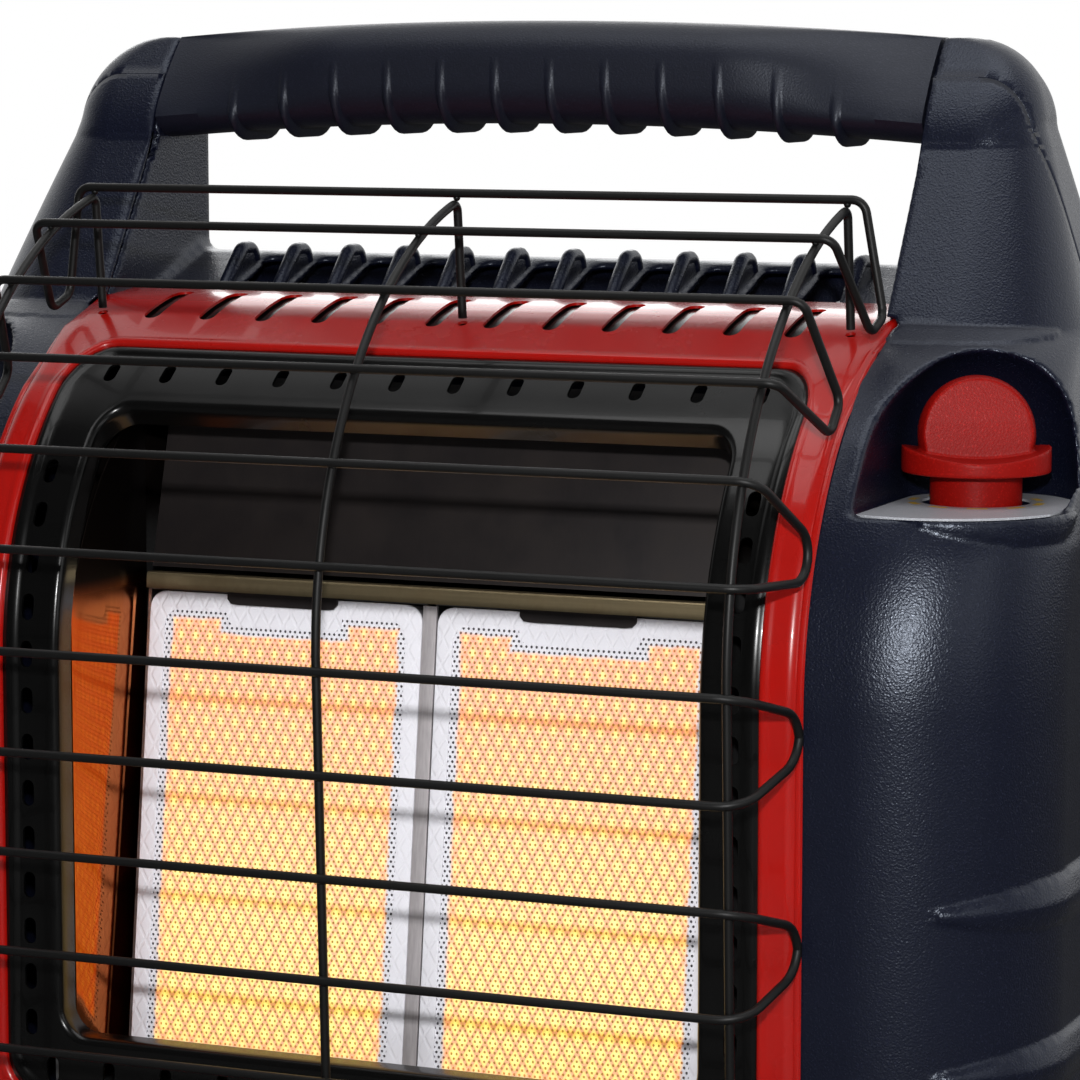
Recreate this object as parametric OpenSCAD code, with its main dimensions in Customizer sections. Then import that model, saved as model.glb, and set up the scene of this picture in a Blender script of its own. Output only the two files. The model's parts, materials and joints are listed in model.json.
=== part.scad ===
// Portable propane heater: two ceramic burner tiles behind a wire guard, in a moulded
// casing with a carrying handle, a swivel regulator on each side and a knob on the right pod.
// X runs left to right seen from the front, Y to the back, Z up. The origin is on the
// floor under the middle of the base.

/* [Casing] */
// Width of a pod beside the bezel, without its grip ridges
pod_w = 70; // [66:1:76]
// How far the pods' grip ridges stand out at the side
ridge_h = 4; // [2:0.5:6]
// Front of the casing, forward of the middle of the base
front_d = 69; // [66:1:72]
// Back of the casing, behind the middle of the base
back_d = 107; // [104:1:112]
// Thickness of the moulded casing
shell_t = 2.6; // [2.2:0.1:3]
// Radius of the casing's rolled front, seen from the side
roll_r = 120; // [117:1:123]
// Height where the straight front ends and the roll begins
roll_z = 212; // [209:1:215]
// Radius of the pods' front corners, seen from above
pod_r = 56; // [50:1:58]
// How far a pod narrows up to the shoulder's top rounding
pod_narrow = 37; // [32:1:41]
// Radius of the shoulders' top rounding, seen from the front
shoulder_r = 30; // [26:1:32]
// Depth of the rear moulding, up to the seam with the front mouldings
rear_d = 35; // [30:1:39]
// Height of the grip ridges' crests on the pods
ridge_z = [97, 150];
// Half the height of a grip ridge
ridge_half = 12; // [9:0.5:14]

/* [Handle] */
// Height of the room for the fingers under the handle's ends
grip_gap = 43; // [41:1:46]
// Height of the handle from its underside to its top
grip_h = 36.4; // [33:0.4:40]
// How far the handle's middle stands above its ends
grip_rise = 6; // [3:0.5:8]
// Depth of the handle from front to back
grip_d = 46; // [42:1:48]
// Radius of the handle's rounded edges
grip_r = 15; // [12:0.5:17]
// Number of finger ribs under the handle
rib_n = 12; // [8:1:13]
// Spacing of the finger ribs
rib_pitch = 21; // [18:0.5:21.5]
// Width of one finger rib
rib_w = 5; // [3:0.5:7]
// How far a finger rib stands out
rib_h = 3.5; // [2:0.5:4.5]

/* [Vent] */
// Number of ribs across the vent behind the bezel
vent_n = 12; // [8:1:13]
// Spacing of the slots in the bezel, the frame and the vent
slot_pitch = 21.8; // [18:0.2:22]
// Width of a vent rib
vent_rib_w = 6; // [4:0.5:8]
// Width of the air louvres in the back
louvre_w = 84; // [60:1:90]
// Number of air louvres in each column
louvre_n = 9; // [5:1:11]

/* [Bezel] */
// Width of the bezel beside its window
bezel_w = 13; // [11.5:0.5:15]
// Height of the bezel below its window
bezel_foot = 18; // [15:1:21]
// Thickness of the bezel sheet
bezel_t = 1.5; // [1:0.1:2]
// Width of the bezel's slots
bezel_slot_w = 4; // [3:0.5:5]

/* [Reflector] */
// Width of the frame beside and below the opening in front of the burners
frame_w = 20; // [18:0.5:22]
// Width of the frame above the opening
frame_top = 17; // [15:0.5:18]
// Distance from a tile to the side of the opening
side_w = 10.8; // [9.8:0.2:12]
// Thickness of the steel sheets
sheet_t = 1; // [0.7:0.1:1.2]
// Width of the frame's oval holes
oval_w = 4.5; // [3.5:0.5:5.5]
// Length of the frame's oval holes
oval_l = 9; // [7:0.5:11]
// Number of oval holes down each side of the frame
oval_n = 13; // [8:1:14]

/* [Burners] */
// Width of one ceramic tile
tile_w = 104.4; // [100:0.2:104.8]
// Height of one ceramic tile
tile_h = 166; // [160:1:170]
// Thickness of the ceramic tiles
tile_t = 13; // [11:0.5:14]
// Backward lean of the tiles, in degrees
tile_lean = 6.9; // [5:0.1:8]
// Distance of the tiles' lower edge behind the casing's front
tile_in = 30.6; // [28:0.2:33]
// Height of the tiles' lower edge above the burner box's floor
tile_rise = 16; // [14:0.5:18]
// Width of the bright strip between the tiles
strip_w = 5; // [4:0.5:6]
// Depth of the gas chamber behind a tile
plenum_d = 27; // [22:1:28]
// Outer radius of a mixing tube
mix_r = 10; // [9:0.5:11]
// Wall of a mixing tube
mix_t = 1.2; // [0.8:0.1:1.5]

/* [Guard] */
// Diameter of the guard wire
wire_d = 3; // [2.5:0.1:3.5]
// Distance between two guard bars, along the guard
bar_pitch = 33.9; // [32:0.1:34.5]
// How far the bars' end loops reach back
loop_d = 38; // [30:1:39]
// How far the end loops lean outwards
loop_out = 6; // [4:0.5:7]

/* [Knob] */
// Depth of the knob's and the igniter's axis
knob_y = 1; // [-1:0.5:3]
// Radius of the knob's rim
knob_r = 24.3; // [22:0.1:24.6]
// Radius of the knob's collar
collar_r = 15; // [13:0.5:16]
// Height of the knob above the shelf
knob_h = 42; // [38:1:44]
// How far the knob is pressed down
knob_travel = 4; // [3:0.5:5]
// Radius of the recess in front of the knob
alcove_r = 29; // [28:0.5:30]
// Radius of the valve stem
stem_r = 3.5; // [3:0.25:4]

/* [Igniter] */
// Radius of the igniter button
button_r = 8; // [7:0.5:9]
// How far the igniter button is pressed down
button_travel = 6; // [4:0.5:7]

/* [Regulators] */
// Depth of the cylinder inlets' axis
inlet_y = 62; // [60:0.5:64]
// Inner radius of the inlets' thread
inlet_r = 12.2; // [12:0.1:12.7]
// Length of the inlets' thread
inlet_l = 13; // [11:0.5:14]
// Radius of the regulator discs
disc_r = 25.5; // [24:0.5:25.5]
// Radius of the swivels
hub_r = 10; // [9:0.5:11]
// Radius of the swivel pins
pin_r = 5; // [4:0.25:6]

/* [Base] */
// Depth of the base from front to back
base_d = 250; // [246:1:256]
// Height of the base's top plate
base_z = 40; // [38:0.5:41]
// Wall of the base moulding
base_t = 3; // [2.5:0.1:3.5]
// Thickness of the rubber feet
foot_h = 4; // [3:0.5:6]
// Radius of the rubber feet
foot_r = 12; // [10:0.5:13]

/* [Clearances] */
// Gap between pieces that seat on each other
gap = 0.3; // [0.25:0.05:0.35]
// Radial clearance of a shaft that turns or slides in its hole
run = 0.08; // [0.05:0.01:0.1]

/* [Hidden] */

e = 0.01; // overlap that closes a cut
far = 400; // longer than any piece
round_fn = 48;
wire_fn = 20;
bead = 0.05; // a bend is this much thicker than its straights, in radius
lap = 0.25; // how far a straight runs into its bend

// widths, outwards from the middle
burner_x = strip_w / 2 + gap + tile_w / 2; // middle of a tile
mouth_half = burner_x + tile_w / 2 + side_w; // opening in front of the burners
box_half = mouth_half + 2;
centre_half = mouth_half + 6; // housing between the cylinder bays
bezel_window = mouth_half + frame_w;
upright_x = bezel_window + 2;
bezel_half = bezel_window + bezel_w;
bar_half = bezel_half - 5; // a guard bar's bent corners
window_half = bezel_half - 4; // window under the handle
flange_x = bezel_half + 1; // inner wall of a pod, behind the bezel
pod_half = flange_x + pod_w;
shoulder_half = pod_half - pod_narrow;
base_half = pod_half + 2;
knob_x = pod_half - 36; // the knob's and the igniter's axis
bay_r = 53; // room for a cylinder, round its inlet's axis
inlet_x = centre_half + bay_r;
swivel_x = centre_half + hub_r + 3;

// depths
roll_y = roll_r - front_d;
shoulder_y = back_d - grip_d - 1; // front of the shoulders at the handle's underside
seam_y = back_d - rear_d;
swivel_y = back_d - 12;
tile_front = front_d - tile_in;

// heights, upwards from the base
bezel_z0 = base_z + 4;
bezel_z1 = bezel_z0 + bezel_foot; // lower edge of its window
mouth_z0 = bezel_z1 + frame_w;
box_z0 = base_z + 12;
tile_z = box_z0 + tile_rise;
step_z = roll_z + 2; // the room narrows above the cylinder's shoulder
inlet_z = step_z + 8;
pod_z = roll_z + 50; // the pods begin to narrow towards the shoulders
shelf_z = roll_z + 62;
roll_top = roll_z + roll_r;
bezel_z2 = roll_top - 15.5; // upper edge of its window
mouth_z1 = bezel_z2 - frame_top;
box_z1 = mouth_z1 + 2.5;
ledge_z = roll_top + 13; // below the window under the handle
grip_z = ledge_z + grip_gap;
body_h = grip_z + grip_h;

// casing outline
cap_z = body_h - shoulder_r;
lean_z = roll_top - 4; // the shoulders leave the roll here
lean_y = roll_y - sqrt(pow(roll_r, 2) - pow(lean_z - roll_z, 2));
lean_slope = (shoulder_y - lean_y) / (grip_z - lean_z);
crown_y = 24; // how far the shoulders' front rounds back at the top
crown_back = 9; // the same at their back
corner_mid = 20; // corner radius where the top rounding begins
corner_top = 8; // corner radius at the very top
rear_r = 14;
bay_y = 30; // the pods' side walls end here

// front frame, from the casing outwards
frame_r = roll_r; // outer face of the reflector frame
bezel_r0 = roll_r + gap;
bezel_r1 = bezel_r0 + bezel_t;
bezel_back = roll_y + 7; // rear edge of the bezel's top band
rim_t = 0.8; // how far the rim round the bezel's window stands out

// knob alcove
alcove_x = knob_x + 3.5;
alcove_y = knob_y + 1;
alcove_spring = shelf_z + 22; // the arch begins to close here
drum_r = 44.5; // upright drum that carries the shelf
drum_x = pod_half - drum_r;
drum_y = -7.5;

// regulator stack, from the inlet upwards
disc_z0 = inlet_z + inlet_l + 1;
disc_z1 = disc_z0 + 14;
arm_z0 = disc_z0 + 2;
arm_z1 = disc_z1 - 2;
cross_z = arm_z0 + 4; // the crossover line joins the swivel blocks here
knuckle_t = 6;
swing_d = norm([inlet_x - swivel_x, inlet_y - swivel_y]); // swivel axis to inlet axis
swing_a = atan2(inlet_y - swivel_y, inlet_x - swivel_x);

// burner box and what stands in it
box_back = 52;
tray_t = 1.1;
plenum_back = tile_t + gap + plenum_d;
bell_w = 4; // how much wider the mouth of a mixing tube is
mix_y = box_back - sheet_t - gap - mix_r - bell_w;
mix_z0 = box_z0 + 26;
mix_z1 = tile_z + 132;
line_z = box_z0 - 5; // gas lines run below the box
line_r = 2.5;
supply_r = 2.8;
// right burner line, left burner line and pilot line: how far each one runs beside the
// burner box, forward of the valve's axis and up the valve
right_run = [9, 3, 6];
left_run = [19, 13, 14];
pilot_run = [27, 17, 22];
pilot_y = 17 - front_d;
pilot_pitch = 12;
hole_x0 = -(vent_n - 1) / 2 * slot_pitch; // first of a row of slots

// guard curve: straight below and an arc above, measured up from where the arc begins
guard_r = roll_r + 27.5;
guard_front = front_d + 42;
guard_z = roll_z + 16;
guard_lean = 0.04;
guard_first = -4.5; // place of the seventh bar
wire_r = wire_d / 2;
foot_y = 9; // where the uprights stand on the bezel
foot_z = (bezel_z0 + bezel_z1) / 2;

// knob and valve
fin_a = 23; // the grip's direction at OFF, from X
knob_hole_r = collar_r + 3;
plate_t = 0.8;
bonnet_r = 9;
bonnet_z = shelf_z - 3;
valve_h = 36;
valve_z0 = shelf_z - 48;
valve_z1 = valve_z0 + valve_h;
valve_w = 36;
valve_d = 40;
washer_z = shelf_z + 5;
washer_t = 1.2;
hub_z = washer_z + washer_t + 0.1;
stem_top = shelf_z + 25;
bracket_z = shelf_z - 10;
supply_z = valve_z1 - 16; // the supply line enters the valve here

// igniter
igniter_r = button_r + 3;
igniter_z0 = shelf_z - 54;
button_z0 = shelf_z - 12;
button_z1 = shelf_z + 16;

// base
base_r = 40;
foot_at = [[base_half - 29, 29 - base_d / 2], [centre_half - 20, base_d / 2 - 24]];
boss_x = centre_half - 16;
screw_at = [[boss_x + 28, roll_z + 64], [boss_x, box_z0 + 10], [boss_x, roll_z + 10]];
louvre_z = box_z0 + 40; // lowest louvre
louvre_pitch = 15;
screw_r = 2;

// outlines

module rounded(w, h, r) {
    square([w - 2 * r, h], center = true);
    square([w, h - 2 * r], center = true);
    for (x = [-1, 1], y = [-1, 1])
        translate([x * (w / 2 - r), y * (h / 2 - r)]) circle(r, $fn = round_fn);
}

module slot(w, l) {
    square([w, l - w], center = true);
    for (s = [-1, 1]) translate([0, s * (l - w) / 2]) circle(w / 2, $fn = 32);
}

// extrudes an outline drawn as (depth, height) along X
module across(x0, x1) {
    translate([x0, 0, 0]) rotate([90, 0, 90]) linear_extrude(x1 - x0) children();
}

// extrudes an outline drawn as (width, height) along Y
module through(y0, y1) {
    translate([0, y1, 0]) rotate([90, 0, 0]) linear_extrude(y1 - y0) children();
}

// extrudes a plan outline upwards
module upright(z0, z1) {
    translate([0, 0, z0]) linear_extrude(z1 - z0) children();
}

module block(x0, x1, y0, y1, z0, z1) {
    translate([x0, y0, z0]) cube([x1 - x0, y1 - y0, z1 - z0]);
}

module pair() {
    children();
    mirror([1, 0, 0]) children();
}

// solid behind the rolled front, as (depth, height), with the roll's radius r
module roll_outline(r, z0, y1) {
    intersection() {
        union() {
            translate([roll_y, roll_z]) circle(r, $fn = 180);
            translate([roll_y - r, z0]) square([r + far, roll_z - z0]);
        }
        translate([-far, z0]) square([far + y1, far]);
    }
}

// wires

function unit(v) = v / norm(v);
function turn_at(p, i) = let(n = len(p), u = unit(p[i] - p[(i + n - 1) % n]), v = unit(p[(i + 1) % n] - p[i]))
    acos(max(-1, min(1, u * v)));

module rod(a, b, r) {
    d = b - a;
    translate(a) rotate([0, acos(d[2] / norm(d)), atan2(d[1], d[0])])
        cylinder(r = r, h = norm(d), $fn = wire_fn);
}

// one rounded bend of a wire that runs from a to c by way of the corner b
module bend(a, b, c, bend_r, r) {
    u = unit(b - a);
    v = unit(c - b);
    turn = acos(max(-1, min(1, u * v)));
    start = b - u * bend_r * tan(turn / 2);
    centre = b + unit(v - u) * bend_r / cos(turn / 2);
    x = unit(start - centre);
    z = cross(x, u);
    multmatrix([[x[0], u[0], z[0], centre[0]], [x[1], u[1], z[1], centre[1]],
            [x[2], u[2], z[2], centre[2]], [0, 0, 0, 1]])
        rotate_extrude(angle = turn, $fn = 90) translate([bend_r, 0]) circle(r + bead, $fn = wire_fn);
}

// wire through the points p, with rounded corners; closed joins the last to the first
module wire(p, r, bend_r, closed = false) {
    n = len(p);
    cut = [for (i = [0:n - 1]) (!closed && (i == 0 || i == n - 1)) ? 0 : bend_r * tan(turn_at(p, i) / 2)];
    for (i = [0:closed ? n - 1 : n - 2]) {
        j = (i + 1) % n;
        d = unit(p[j] - p[i]);
        from = p[i] + d * cut[i];
        to = p[j] - d * cut[j];
        rod(from - d * (cut[i] > 0 ? lap : 0), to + d * (cut[j] > 0 ? lap : 0), r);
    }
    for (i = [0:n - 1]) if (cut[i] > 0)
        bend(p[(i + n - 1) % n], p[i], p[(i + 1) % n], bend_r, r);
}

// coil spring that stands on z = 0
function coil_points(r, wire_r, turns, h, sides, steps) = [for (i = [0:turns * steps])
    let(a = 360 * i / steps, z = wire_r + (h - 2 * wire_r) * i / (turns * steps))
    for (k = [0:sides - 1]) let(b = 360 * k / sides, d = r + wire_r * cos(b))
        [d * cos(a), d * sin(a), z + wire_r * sin(b)]];

module coil(r, wire_r, turns, h) {
    sides = 6;
    steps = 12;
    n = turns * steps;
    polyhedron(coil_points(r, wire_r, turns, h, sides, steps), concat(
        [[for (k = [0:sides - 1]) k]],
        [for (i = [0:n - 1], k = [0:sides - 1])
            let(a = i * sides + k, b = i * sides + (k + 1) % sides) [a, a + sides, b + sides]],
        [for (i = [0:n - 1], k = [0:sides - 1])
            let(a = i * sides + k, b = i * sides + (k + 1) % sides) [a, b + sides, b]],
        [[for (k = [sides - 1:-1:0]) n * sides + k]]));
}

// casing form

function blend(a, b, t) = a + (b - a) * t;

// half width at height z, moved in by i
function half_at(z, i) = z <= pod_z ? pod_half - i
    : z <= cap_z ? blend(pod_half, shoulder_half, pow((z - pod_z) / (cap_z - pod_z), 1.25)) - i
    : shoulder_half - shoulder_r + sqrt(max(0, pow(shoulder_r - i, 2) - pow(z - cap_z, 2)));

// depth of the front at height z, moved in by i
function roll_at(z, i) = z <= roll_z ? i - front_d
    : z >= roll_top - i ? far : roll_y - sqrt(pow(roll_r - i, 2) - pow(z - roll_z, 2));
function lean_at(z, i) = i * 1.2 + (z <= grip_z ? lean_y + lean_slope * (z - lean_z)
    : shoulder_y + crown_y * pow((z - grip_z) / (body_h - grip_z), 1.5));
function front_at(z, i) = z < lean_z - 8 ? roll_at(z, i) : min(roll_at(z, i), lean_at(z, i));

function rear_at(z, i) = back_d - i - (z <= cap_z ? 0 : crown_back * pow((z - cap_z) / shoulder_r, 2));

function corner_at(z) = z <= roll_z ? pod_r
    : z <= cap_z ? blend(pod_r, corner_mid, pow((z - roll_z) / (cap_z - roll_z), 2))
    : blend(corner_mid, corner_top, pow((z - cap_z) / shoulder_r, 2));

// one level outline of the casing's half, from the window's side round to it again
function casing_ring(z, i, x_in) = let(
    xo = half_at(z, i), yf = front_at(z, i), yb = rear_at(z, i),
    most = min(0.9 * (xo - x_in), 0.45 * (yb - yf)),
    rf = min(max(corner_at(z) - i, 2), most), rb = min(rear_r - i, most))
    concat([[x_in, yf, z]],
        [for (a = [-90:90 / 7:1]) [xo - rf + rf * cos(a), yf + rf + rf * sin(a), z]],
        [for (a = [0:30:91]) [xo - rb + rb * cos(a), yb - rb + rb * sin(a), z]],
        [[x_in, yb, z]]);

function casing_levels(i, z0) = let(levels = concat([roll_z],
    [for (a = [9.4:9.4:75]) roll_z + roll_r * sin(a)],
    [for (t = [0:0.25:1]) blend(lean_z + 3, cap_z, t)],
    [for (a = [15:15:91]) cap_z + (shoulder_r - i) * sin(a)]))
    concat([z0], [for (z = levels) if (z > z0 + 1) z]);

module casing_half(i, x_in, z0) {
    rings = [for (z = casing_levels(i, z0)) casing_ring(z, i, x_in)];
    m = len(rings[0]);
    n = len(rings);
    polyhedron([for (g = rings) each g], concat(
        [[for (k = [0:m - 1]) k]],
        [for (j = [0:n - 2], k = [0:m - 1]) let(a = j * m + k, b = j * m + (k + 1) % m) [a, a + m, b + m]],
        [for (j = [0:n - 2], k = [0:m - 1]) let(a = j * m + k, b = j * m + (k + 1) % m) [a, b + m, b]],
        [[for (k = [m - 1:-1:0]) (n - 1) * m + k]]));
}

module drum(i) {
    intersection() {
        translate([drum_x, drum_y, roll_z - 8]) cylinder(r = drum_r - i, h = shelf_z - roll_z + 8, $fn = 96);
        block(flange_x + i, far, -far, far, 0, far);
    }
}

// outline of a grip ridge, out from the pod's corner axis, moved in by i
function ridge_outline(i) = [[0, ridge_half - i], [pod_r - ridge_h - i, ridge_half - i], [pod_r - i, 0],
    [pod_r - ridge_h - i, i - ridge_half], [0, i - ridge_half]];

// grip ridges: round a pod's front corner and straight back to the cylinder bay
module ridges(i) {
    y = pod_r - front_d;
    for (z = ridge_z) translate([pod_half - pod_r + ridge_h, y, z]) {
        rotate([0, 0, -90]) rotate_extrude(angle = 90, $fn = 96) polygon(ridge_outline(i));
        through(0, bay_y - y) polygon(ridge_outline(i));
    }
}

// arched recess over the shelf, open to the front, grown by g
module alcove(g) {
    r = alcove_r + g;
    z0 = shelf_z - g - e;
    intersection() {
        union() {
            translate([alcove_x, alcove_y, z0]) cylinder(r = r, h = alcove_spring - z0, $fn = 64);
            translate([alcove_x, alcove_y, alcove_spring]) sphere(r, $fn = 64);
            through(-far / 2, alcove_y) {
                translate([alcove_x - r, z0]) square([2 * r, alcove_spring - z0]);
                translate([alcove_x, alcove_spring]) circle(r, $fn = 64);
            }
        }
        // the round ends stop at the shelf
        block(0, far, -far, far, z0, far * 2);
    }
}

// room under the top band of the bezel, at the foot of the shoulders
module bezel_room() {
    across(-bezel_half - gap, bezel_half + gap) intersection() {
        difference() {
            circle_at_roll(bezel_r1 + rim_t + gap);
            circle_at_roll(roll_r);
        }
        translate([-far, roll_z]) square([far + bezel_back + gap, far]);
    }
}

module circle_at_roll(r) {
    translate([roll_y, roll_z]) circle(r, $fn = 180);
}

module bay_circle(i) {
    translate([inlet_x, inlet_y]) circle(bay_r + i, $fn = 96);
}

// walls between a pod and the room for its cylinder
module bay_wall(z0) {
    strip = [pod_half - centre_half, shell_t];
    intersection() {
        union() {
            upright(z0, step_z) difference() {
                union() {
                    bay_circle(shell_t);
                    translate([centre_half + gap, bay_y - shell_t]) square(strip);
                }
                bay_circle(0);
            }
            upright(step_z - shell_t, step_z) bay_circle(shell_t);
            upright(step_z - shell_t, pod_z) translate([centre_half + gap, bay_y - shell_t]) square(strip);
        }
        block(centre_half + gap, far, -far, bay_y, 0, far);
        union() {
            casing_half(shell_t / 2, window_half, z0);
            block(0, window_half + e, -far, far, 0, far);
        }
    }
}

module side_shell_half(hole_r) {
    z0 = base_z + gap;
    difference() {
        union() {
            difference() {
                union() {
                    casing_half(0, window_half, z0);
                    drum(0);
                    ridges(0);
                }
                casing_half(shell_t, window_half - 1, z0 - 1);
                drum(shell_t);
                ridges(shell_t);
                // open behind the seam, and open to the cylinder below it
                block(0, far, seam_y, far, 0, far * 2);
                block(0, far, bay_y, far, 0, pod_z);
            }
            // shelf
            intersection() {
                union() {
                    casing_half(shell_t / 2, window_half, z0);
                    drum(shell_t / 2);
                }
                block(flange_x, far, -far, bay_y + 2, shelf_z - shell_t, shelf_z);
            }
            // alcove wall
            intersection() {
                casing_half(0.4, window_half, z0);
                difference() {
                    alcove(shell_t);
                    alcove(0);
                    block(0, far, -far, far, 0, shelf_z - shell_t);
                }
            }
            // inner wall behind the bezel
            difference() {
                block(flange_x, flange_x + shell_t, 3 - front_d, bay_y - e, z0, shelf_z - e);
                across(0, far) difference() {
                    square([far * 2, far * 2], center = true);
                    roll_outline(roll_r - shell_t / 2, 0, far);
                }
                upright(0, step_z - shell_t) bay_circle(0);
                // gas lines pass here
                block(0, far, -22, 4, shelf_z - 76, shelf_z - 14);
            }
            bay_wall(z0);
        }
        alcove(0);
        bezel_room();
        translate([knob_x, knob_y, shelf_z - 20]) cylinder(r = hole_r, h = 40, $fn = 64);
    }
}

module side_shell_right() {
    color("#23262d") difference() {
        side_shell_half(knob_hole_r);
        through(0, far) translate([knob_x, supply_z]) circle(supply_r + gap, $fn = 32);
    }
}

module side_shell_left() {
    color("#23262d") mirror([1, 0, 0]) side_shell_half(igniter_r + gap);
}

// casing pieces

module base_plan(i) {
    front = -base_d / 2 + i;
    back = base_d / 2 - i;
    difference() {
        union() {
            intersection() {
                translate([0, front + far / 2]) rounded(2 * (base_half - i), far, base_r - i);
                translate([-far, -far]) square([2 * far, far + bay_y - 3 * i]);
            }
            translate([0, back / 2]) rounded(2 * (centre_half - i), back, rear_r);
        }
        // room for the cylinders
        pair() bay_circle(i);
    }
}

module base_side(i) {
    front = -base_d / 2 + i;
    polygon([[front, foot_h - i], [front, 14 - i / 2], [front + 3, 19.5 - i], [front + 9, 23.5 - i],
        [front + 45, base_z - 1.6 - i], [front + 52, base_z - i], [far, base_z - i], [far, foot_h - i]]);
}

module base_solid(i, z0) {
    intersection() {
        upright(z0, base_z) base_plan(i);
        across(-far, far) base_side(i);
    }
}

module base_tray() {
    color("#1f2227") difference() {
        union() {
            difference() {
                base_solid(0, foot_h);
                base_solid(base_t, foot_h - 1);
            }
            intersection() {
                base_solid(base_t / 2, foot_h);
                for (p = foot_at) pair() translate([p[0], p[1], foot_h + 1])
                    cylinder(r = foot_r - 2, h = base_z, $fn = 48);
            }
        }
        for (p = foot_at) pair() translate([p[0], p[1], 0]) cylinder(r = 4 + gap, h = foot_h + 11, $fn = 32);
        // air slots under the burners
        for (x = [hole_x0:slot_pitch:-hole_x0 + 1]) translate([x, 0, base_z / 2]) upright(0, base_z)
            slot(6, 40);
    }
}

module rubber_feet() {
    color("#101113") for (p = foot_at) pair() translate([p[0], p[1], 0]) {
        cylinder(r = foot_r - 1, h = 1, $fn = 48);
        translate([0, 0, 1]) cylinder(r = foot_r, h = foot_h - 1, $fn = 48);
        cylinder(r = 4, h = foot_h + 9, $fn = 32);
    }
}

// side wall of a shoulder beside the window, as (depth, height)
module shoulder_outline() {
    levels = [for (z = casing_levels(0, lean_z - 2)) z];
    polygon(concat([for (z = levels) [front_at(z, shell_t + gap), z]],
        [for (k = [len(levels) - 1:-1:0]) [rear_at(levels[k], 0) - e, levels[k]]]));
}

module deck_outline() {
    z = bezel_r0 + roll_z - gap * 2;
    polygon([[roll_y, z], [bezel_back + 2, z], [back_d - 10, ledge_z], [back_d, ledge_z],
        [back_d, ledge_z - shell_t], [back_d - 9, ledge_z - shell_t], [bezel_back + 3, z - shell_t],
        [roll_y, z - shell_t]]);
}

module vent_rib(x) {
    z = ledge_z + 2;
    r = vent_rib_w / 2;
    web = r - 0.5;
    front = [x, bezel_back + 4, roll_top + 0.5];
    wire([front, [x, back_d - 26, z], [x, back_d - 8, z]], r, 8);
    across(x - web, x + web) polygon([[front[1], front[2]], [back_d - 26, z],
        [back_d - 8, z], [back_d - 5, ledge_z - 1], [front[1], roll_top - 1]]);
    translate([x, back_d - 8, z]) sphere(r + bead, $fn = 32);
    translate(front) sphere(r + bead, $fn = 32);
}

module rear_shell() {
    z0 = base_z + gap;
    roof_z = pod_z + shell_t;
    color("#23262d") difference() {
        union() {
            // shoulders behind the seam
            pair() difference() {
                casing_half(0, window_half, pod_z);
                casing_half(shell_t, window_half + shell_t, pod_z - 1);
                block(0, far, -far, seam_y + gap, 0, far * 2);
            }
            pair() across(window_half, window_half + shell_t) shoulder_outline();
            // middle housing between the cylinder bays
            block(-centre_half, centre_half, back_d - shell_t, back_d, z0, roof_z);
            block(-window_half - e, window_half + e, back_d - shell_t, back_d, pod_z, ledge_z - e);
            pair() block(centre_half - shell_t, centre_half, bay_y - 10, back_d, z0, roof_z);
            // roofs of the cylinder bays
            pair() block(centre_half - shell_t, window_half + shell_t, bay_y, back_d - e, pod_z, roof_z);
            pair() intersection() {
                block(window_half, far, bay_y, back_d, pod_z, roof_z);
                casing_half(shell_t + gap, window_half, 0);
            }
            across(-window_half - 1, window_half + 1) deck_outline();
            for (k = [0:vent_n - 1]) vent_rib(hole_x0 + k * slot_pitch);
            // screw bosses
            for (p = screw_at) pair() translate([p[0], back_d - 14, p[1]]) rotate([-90, 0, 0])
                cylinder(r = 4.5, h = 13, $fn = 32);
        }
        // vent openings between the ribs
        for (k = [0:vent_n - 2]) translate([hole_x0 + (k + 0.5) * slot_pitch, 0, 0])
            block(-(slot_pitch - vent_rib_w) / 2 + 1, (slot_pitch - vent_rib_w) / 2 - 1,
                bezel_back + 8, back_d - 14, roll_top - 20, far);
        // louvres
        for (k = [0:louvre_n - 1], s = [-1, 1]) through(back_d - shell_t - 1, far)
            translate([s * (louvre_w / 2 + 8), louvre_z + k * louvre_pitch]) rotate(90) slot(5, louvre_w);
        for (p = screw_at) pair() translate([p[0], back_d - 16, p[1]]) rotate([-90, 0, 0])
            cylinder(r = screw_r + 0.1, h = 30, $fn = 32);
        bezel_room();
        // the crossover line passes here
        across(-far, far) translate([swivel_y, cross_z]) circle(supply_r + gap, $fn = 32);
    }
}

module shell_screws() {
    color("silver") for (p = screw_at) pair() translate([p[0], back_d + gap, p[1]]) rotate([-90, 0, 0]) {
        translate([0, 0, -12]) cylinder(r = screw_r, h = 12 + e, $fn = 32);
        intersection() {
            cylinder(r = 4, h = 2, $fn = 32);
            translate([0, 0, -4]) sphere(6, $fn = 48);
        }
    }
}

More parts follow.
